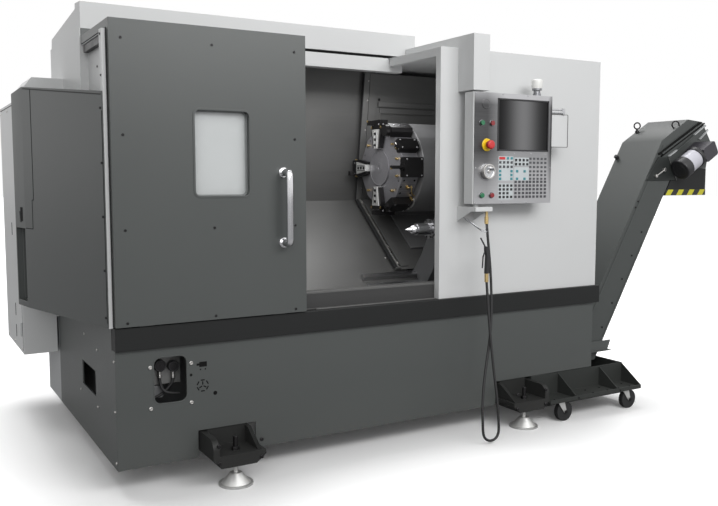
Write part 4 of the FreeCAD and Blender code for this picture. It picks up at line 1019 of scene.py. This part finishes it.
def takeUpPlate():
    # the plate on the head's side that the belt's take-up screw stands on, wider at its foot
    low, high = conveyorSet["takeUp"]
    piece = plate("takeUpPlate", (low[0], 91, low[1]), (high[0], 99.8, high[1]))
    choose(piece, facing((0, 0, -1)))
    foot = conveyorSet["takeUpFoot"]
    wide = (foot[1] - foot[0]) / (high[0] - low[0])
    middle = spot((low[0] + high[0]) / 2, 95, low[1])
    bpy.ops.transform.resize(value=(wide, 1, 1), center_override=middle)
    bpy.ops.transform.translate(value=(spot((foot[0] + foot[1]) / 2, 95, low[1]).x - middle.x, 0, 0))
    bpy.ops.object.mode_set(mode="OBJECT")
    return piece


def conveyorDetails():
    for name, finish, edge, *bars in conveyorSet["bars"]:
        complete([slopeBar(name, *bar) for bar in bars], finish, edge=edge)
    complete(takeUpPlate(), tankPaint, edge=2)
    # the bright bar on the take-up plate's edge is a painted highlight
    complete(slopeBar("takeUpEdgeHighlight", (3406, 1444), (3486, 1304), 4, 4, 91), dullSteel, edge=0.5)
    # take-up screw with its nut and eye
    rod = bentWire("takeUpScrew", [spot(3292, 84, 1329), spot(3330, 84, 1348), spot(3372, 84, 1370)], 4)
    nut = roundPart("takeUpNut", spot(3368, 91, 1368), front, [(0, 13), (12, 13), (14, 11)], 6)
    end = roundPart("takeUpEye", spot(3294, 91, 1330), front, [(0, 10), (12, 10), (13, 8)], 16)
    complete([rod, nut, end], zinc, edge=0.6)
    eyes = []
    for x, y, z, radius in conveyorSet["eyes"]:
        bpy.ops.object.select_all(action="DESELECT")
        bpy.ops.mesh.primitive_torus_add(
            major_radius=radius / 1000, minor_radius=0.0046, major_segments=28, minor_segments=10,
            location=spot(x, y, z + radius + 9), rotation=(math.radians(90), 0, math.radians(-28)))
        eyes.append(settle("eyeRing"))
        eyes.append(roundPart("eyeShank", spot(x, y, z - 16), up, [(0, 13), (12, 13), (15, 8), (30, 6)], 18))
    complete(eyes, blackOxide)
    # hazard stripes along the foot of the discharge chute
    band = [plate("chuteBand", (3399, 99.2, 1211), (3777, 100.6, 1246)),
            plate("chuteBand", (3777, 100, 1211), (3778.9, 408, 1246))]
    complete(band, stripes, edge=0.3)
    screws("slopeScrews", onFront(99.8, conveyorSet["screws"]), 6, 2.4, blackOxide)
    knob = roundPart("farKnob", spot(3295, 394, 1446), (-0.866, 0, 0.5), [(0, 13), (22, 13), (25, 10)], 20)
    complete(knob, blackPlastic, edge=1)


def motorDetails():
    # the motor's bright can, the fan's cap and the collar, along the tilted axis
    tilt = math.radians(conveyorSet["motorTilt"])
    axis = Vector((-math.cos(tilt), 0, -math.sin(tilt)))
    middle = spot(*conveyorSet["motor"])
    for name, along, rings, finish, edge in conveyorSet["motorParts"]:
        roundParts((name, middle + axis * along / 1000, axis, rings, 40, finish, "machine", edge))


conveyorDetails()
motorDetails()

print("left cover and cabinet details")

coverSet = {
    "from": (-25, -4),
    "to": (-219, 728),
    "seams": (
        # along the cover from its front corner, height; start and end of each seam
        ((664, 1712), (664, 1216)), ((664, 1216), (680, 1216)), ((680, 1216), (680, 1084)),
        ((680, 1084), (757, 1084)), ((4, 1580), (4, 730)),
    ),
    "grip": (-229, 781, 1148),
    "screws": ((14, 1591), (14, 1375), (15, 1161), (15, 944), (15, 753)),
    "slots": ((1530, 1004), (1500, 440), (1500, 560)),
    "hinges": (1600, 1010, 480),
}
coverRun = Vector(coverSet["to"]) - Vector(coverSet["from"])
coverTurn = math.degrees(math.atan2(-coverRun.x, coverRun.y))


def onCover(along, z, out=0):
    # a place on the leaning left cover
    run = coverRun.normalized()
    x, y = Vector(coverSet["from"]) + run * along + Vector((-run.y, run.x)) * out
    return spot(x, y, z)


def leftDetails():
    sideways = (-math.cos(math.radians(coverTurn)), -math.sin(math.radians(coverTurn)), 0)
    seams = []
    for start, end in coverSet["seams"]:
        middle = onCover((start[0] + end[0]) / 2, (start[1] + end[1]) / 2, 0.1)
        size = (1.4, max(abs(end[0] - start[0]), 3.4), max(abs(end[1] - start[1]), 3.4))
        seams.append(turnedPlate("coverSeam", middle, size, (0, 0, coverTurn)))
    complete(seams, seamAndShadowPaint)
    # finger hole in the narrow rear face, a black plate as painted shade
    complete(turnedPlate("gripHoleShade", spot(*coverSet["grip"]), (1.4, 30, 64), (0, 0, 10.4)), seamAndShadowPaint)
    climb = math.degrees(math.atan2(80, 757))
    lip = turnedPlate("coverLip", onCover(375, 1683, 0.4), (1.6, 738, 5), (climb, 0, coverTurn))
    complete(lip, black, edge=0.4)
    places = [(onCover(along, z, -0.3), sideways) for along, z in coverSet["screws"]]
    screws("coverSideScrews", places, 5.5, 2.4, blackOxide)

    # the upper corner beside the door: guide bar, light strip, screws, and a black strip in the gap beside
    # the light post, as painted shade
    plates(("doorGuide", (8, 128, 1866), (29.6, 460, 1897), blackOxide, 2),
           ("guideStrip", (4, 30, 1899), (29.6, 470, 1904), silver, 0.8),
           ("postGapShade", (-5.4, -2, 712), (-0.4, 13.6, 1898), blackRubber, 0.6))
    places = onLeft(29.9, ((110, 1700), (300, 1790))) + onLeft(-20.2, ((20, 1880), (20, 1720)))
    screws("cornerScrews", places, 5, 2.2, blackOxide)

    # rear cabinet: slots as black plates of painted shade, edge seams, hinges and screws
    slots = [plate("cabinetSlotShade", (-180.9, y, z), (-179.6, y + 16, z + 68)) for y, z in coverSet["slots"]]
    slots += [plate("cabinetSeam", (-180.7, 1262, 400), (-179.7, 1266, 1700)),
              plate("cabinetSeam", (-180.7, 1262, 1697), (-179.7, 1850, 1701))]
    complete(slots, seamAndShadowPaint)
    hinges = [roundPart("cabinetHinge", spot(-184, 1270, z), up, [(0, 6), (70, 6), (72, 5)], 16)
              for z in coverSet["hinges"]]
    complete(hinges, silver, edge=0.6)
    rows = [(y, z) for y in (1290, 1560, 1840) for z in (410, 1680)]
    screws("cabinetScrews", onLeft(-180.2, rows), 5.5, 2.4, zinc)
    rows = [(y, z) for y in (910, 1170) for z in (760, 1250, 1730)]
    screws("housingScrews", onLeft(-180.2, rows), 5.5, 2.4, zinc)


leftDetails()

print("base details")

baseSet = {
    "vent": (368, 426),
    "cutouts": ((354, 388, 508, 530), (342, 354, 515, 524), (356, 362, 494, 500), (378, 384, 494, 500)),
    "holes": ((317, 478, 6), (424, 386, 9)),
    "screws": ((142, 530), (318, 530), (142, 355), (317, 359)),
    "leftScrews": ((18, 567), (18, 357), (18, 140), (590, 590), (330, 560), (700, 300), (340, 300)),
    "gauges": ((205, 516, 26), (264, 508, 24)),
    "hoses": (((205, 84, 462), (206, 82, 440), (214, 76, 410), (240, 70, 392), (286, 72, 388)),
              ((264, 84, 456), (262, 84, 436), (250, 90, 420), (228, 92, 396), (196, 88, 380),
               (168, 92, 372))),
    "brackets": (478, 2108),
    "trayScrews": (2300, 2460, 2590, 2700, 2790, 2880),
}


def ventSlots(reach, size, angles):
    x, z = baseSet["vent"]
    return [turnedPlate("ventSlotShade", spot(x + reach * math.cos(math.radians(angle)), -0.2,
                                         z + reach * math.sin(math.radians(angle))), size, (0, -angle, 0))
            for angle in angles]


def skirtDetails():
    # round slotted vent and small holes as black plates of painted shade, and bolts
    gaps = ventSlots(24, (5, 1.6, 17), range(30, 390, 60)) + ventSlots(11, (14, 1.6, 5), range(90, 450, 120))
    gaps += [plate("plugCutoutShade", (x0, -0.6, z0), (x1, 0.6, z1)) for x0, x1, z0, z1 in baseSet["cutouts"]]
    gaps += [roundPart("skirtHole", spot(x, 0.4, z), front, [(0, radius), (1, radius)], 20)
             for x, z, radius in baseSet["holes"]]
    complete(gaps, seamAndShadowPaint)
    screws("skirtScrews", onFront(0.2, baseSet["screws"]), 8, 4, zinc, socket=0.6)
    screws("leftSkirtScrews", onLeft(0.2, baseSet["leftScrews"]), 6, 3, zinc)
    railEnd = (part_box("sill_rail")[1][1] - machineCorner.y) * 1000
    plates(("leftSkirtFlange", (-3.2, 42, 609), (-2.1, railEnd - 2, 706), charcoal, 0.3))
    complete(ringPlate("serviceRim", (153, -1.4, 366), (303, 0.2, 572), 5, 32), charcoal, edge=0.4)


def serviceDetails():
    # gauges, pipes and pump seen through the service opening
    plates(("gaugeBoard", (166, 96, 430), (300, 100, 560), dullSteel, 1),
           ("lubeBlock", (176, 92, 372), (222, 128, 426), ironCast, 4))
    for x, z, radius in baseSet["gauges"]:
        rings = [(0, radius), (26, radius), (29, radius - 2), (29, radius - 5), (25, radius - 6)]
        dial = [(0, radius - 6), (1.2, radius - 6), (1.6, 4), (3, 3.5)]
        stem = [(0, 7), (18, 7), (18, 9), (30, 9)]
        roundParts(("gauge", spot(x, 96.4, z), front, rings, 32, blackPlastic, "machine", 0.8),
                   ("gaugeDial", spot(x, 71, z), front, dial, 32, blackOxide, "machine", 0.2),
                   ("gaugeStem", spot(x, 84, z - radius + 2), (0, 0, -1), stem, 12, zinc, "machine", 0.6))
    hoses = [bentWire("lubeHose", [spot(*place) for place in way], 6) for way in baseSet["hoses"]]
    complete(hoses, blackRubber)


def footDetails():
    # bolts of the foot brackets and nuts on the studs
    brackets = baseSet["brackets"]
    places = [(centre + shift, z) for centre in brackets for shift in (-96, 96) for z in (122, 198)]
    screws("bracketBolts", onFront(-150.2, places), 9, 6, blackOxide, sides=6, socket=0)
    nuts = [roundPart("studNut", spot(centre, -92, 151), up, [(0, 18), (1.5, 18), (14, 17.5), (15.5, 15)], 6)
            for centre in brackets]
    nuts += [roundPart("studTip", spot(centre, -92, 166), up, [(0, 10.6), (44, 10.6), (46, 8.5)], 20)
             for centre in brackets]
    complete(nuts, blackOxide, edge=0.5)
    # bolts of the tray's lip and floor, and the ends of the casters' axles
    places = onFront(-154.2, ((2448, 122), (2768, 122)))
    places += [(spot(x, y, 123.2), up) for x in baseSet["trayScrews"] for y in (-120, -60)]
    screws("trayBolts", places, 5.5, 3, blackOxide)
    for node in ("caster_wheel_left", "caster_wheel_right"):
        low, high = [Vector(corner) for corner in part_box(node)]
        axle = (low + high) / 2
        axle.y = low.y - 0.0095
        nut = [(0, 10), (5, 10), (6, 8.5)]
        roundParts(("casterNut", axle, front, nut, 6, blackOxide, bodyOfNode[node], 0.5))


skirtDetails()
serviceDetails()
footDetails()
# dark strip behind the gap between the hood and the header, as painted shade
plates(("hoodGapShade", (12, 486, 1958), (1599, 522, 1975.6), seamAndShadowPaint, 0))

print("floor and light")

lightSet = {
    "floorSeen": tone(250, 250, 250),    # what the camera sees of the floor
    "floorBounce": tone(138, 138, 139),  # what the machine gets back from it
    "floorNearPaintedShade": tone(50, 50, 50),       # glow that whitens the floor for the camera, kept dim by the machine as painted shade
    "floorFar": tone(158, 158, 158),     # and away from it
    "footprint": {"X": (-0.45, 1.35), "Y": (0.0, 0.86)},  # middle and half size of the machine's foot
    "fade": (0.1, 0.75),
    "world": 0.24,
    "suns": (
        # where it comes from, strength, how wide it is in degrees
        ((-0.45, -0.8, 0.5), 1.05, 50),
        ((0.0, 0.4, 1.0), 2.2, 40),
    ),
    "boxes": (
        # place, where it looks, width, height, watts
        ((0.3, -4.6, 3.4), (-0.6, -0.8, 1.5), 3.4, 1.4, 110),
        ((-0.4, -0.26, 1.85), (-0.4, -0.4, 1.0), 0.9, 0.2, 3.4),
        ((-0.45, -0.52, 1.55), (-0.12, -0.33, 1.2), 0.4, 0.3, 0.9),
        ((0.0, -0.6, 1.6), (0.02, -0.45, 1.95), 0.4, 0.3, 0.4),
    ),
}


def studioFloor():
    bpy.ops.mesh.primitive_plane_add(size=120, location=(0, 0, -0.0004))
    floor = bpy.context.object
    floor.name = "studioFloor"
    surface = Finish("studioFloor", None, lightSet["floorSeen"], 0.85, Emission_Strength=1.0)
    seen = surface.add("ShaderNodeLightPath", output="Is Camera Ray")
    surface.feed("Base Color", surface.blend(seen, lightSet["floorBounce"], lightSet["floorSeen"]))
    surface.feed("Roughness", surface.noise(0.6) * 0.1 + 0.8)
    # how far a place lies from the machine's foot
    away = 0.0
    for letter, (middle, half) in lightSet["footprint"].items():
        offset = surface.axis(letter) - middle
        past = (offset * offset) ** 0.5 - half
        away = away + past * past * (past > 0.0)
    # painted shade: the glow is dimmer near the machine's foot and rises to full away from it
    fade = surface.ramp(away ** 0.5, *lightSet["fade"])
    paintedLight = surface.blend(fade, lightSet["floorNearPaintedShade"], lightSet["floorFar"])
    surface.feed("Emission Color", surface.blend(seen, (0, 0, 0, 1), paintedLight))
    floor.data.materials.append(surface.material)


def aim(lamp, direction):
    lamp.rotation_euler = direction.to_track_quat("Z", "Y").to_euler()


def lamps():
    for direction, strength, spread in lightSet["suns"]:
        bpy.ops.object.light_add(type="SUN", location=Vector(direction) * 6)
        lamp = bpy.context.object
        lamp.data.energy = strength
        lamp.data.angle = math.radians(spread)
        aim(lamp, Vector(direction))
    for place, target, width, height, watts in lightSet["boxes"]:
        bpy.ops.object.light_add(type="AREA", location=place)
        lamp = bpy.context.object
        lamp.data.shape = "RECTANGLE"
        lamp.data.size = width
        lamp.data.size_y = height
        lamp.data.energy = watts
        lamp.visible_camera = False
        aim(lamp, Vector(place) - Vector(target))


def whiteWorld():
    # white where it is seen, mirrored or looked through, and dimmer as a light
    world = bpy.data.worlds.new("studio")
    bpy.context.scene.world = world
    world.use_nodes = True
    tree = world.node_tree
    background = tree.nodes["Background"]
    path = tree.nodes.new("ShaderNodeLightPath")
    seen = Wire(tree, path.outputs["Is Camera Ray"]) + Wire(tree, path.outputs["Is Glossy Ray"])
    seen = seen + Wire(tree, path.outputs["Is Transmission Ray"])
    strength = (seen > 0.5) * (1 - lightSet["world"]) + lightSet["world"]
    tree.links.new(strength.socket, background.inputs["Strength"])
    background.inputs["Color"].default_value = (1, 1, 1, 1)
    bpy.context.scene.view_settings.view_transform = "Standard"


studioFloor()
lamps()
whiteWorld()
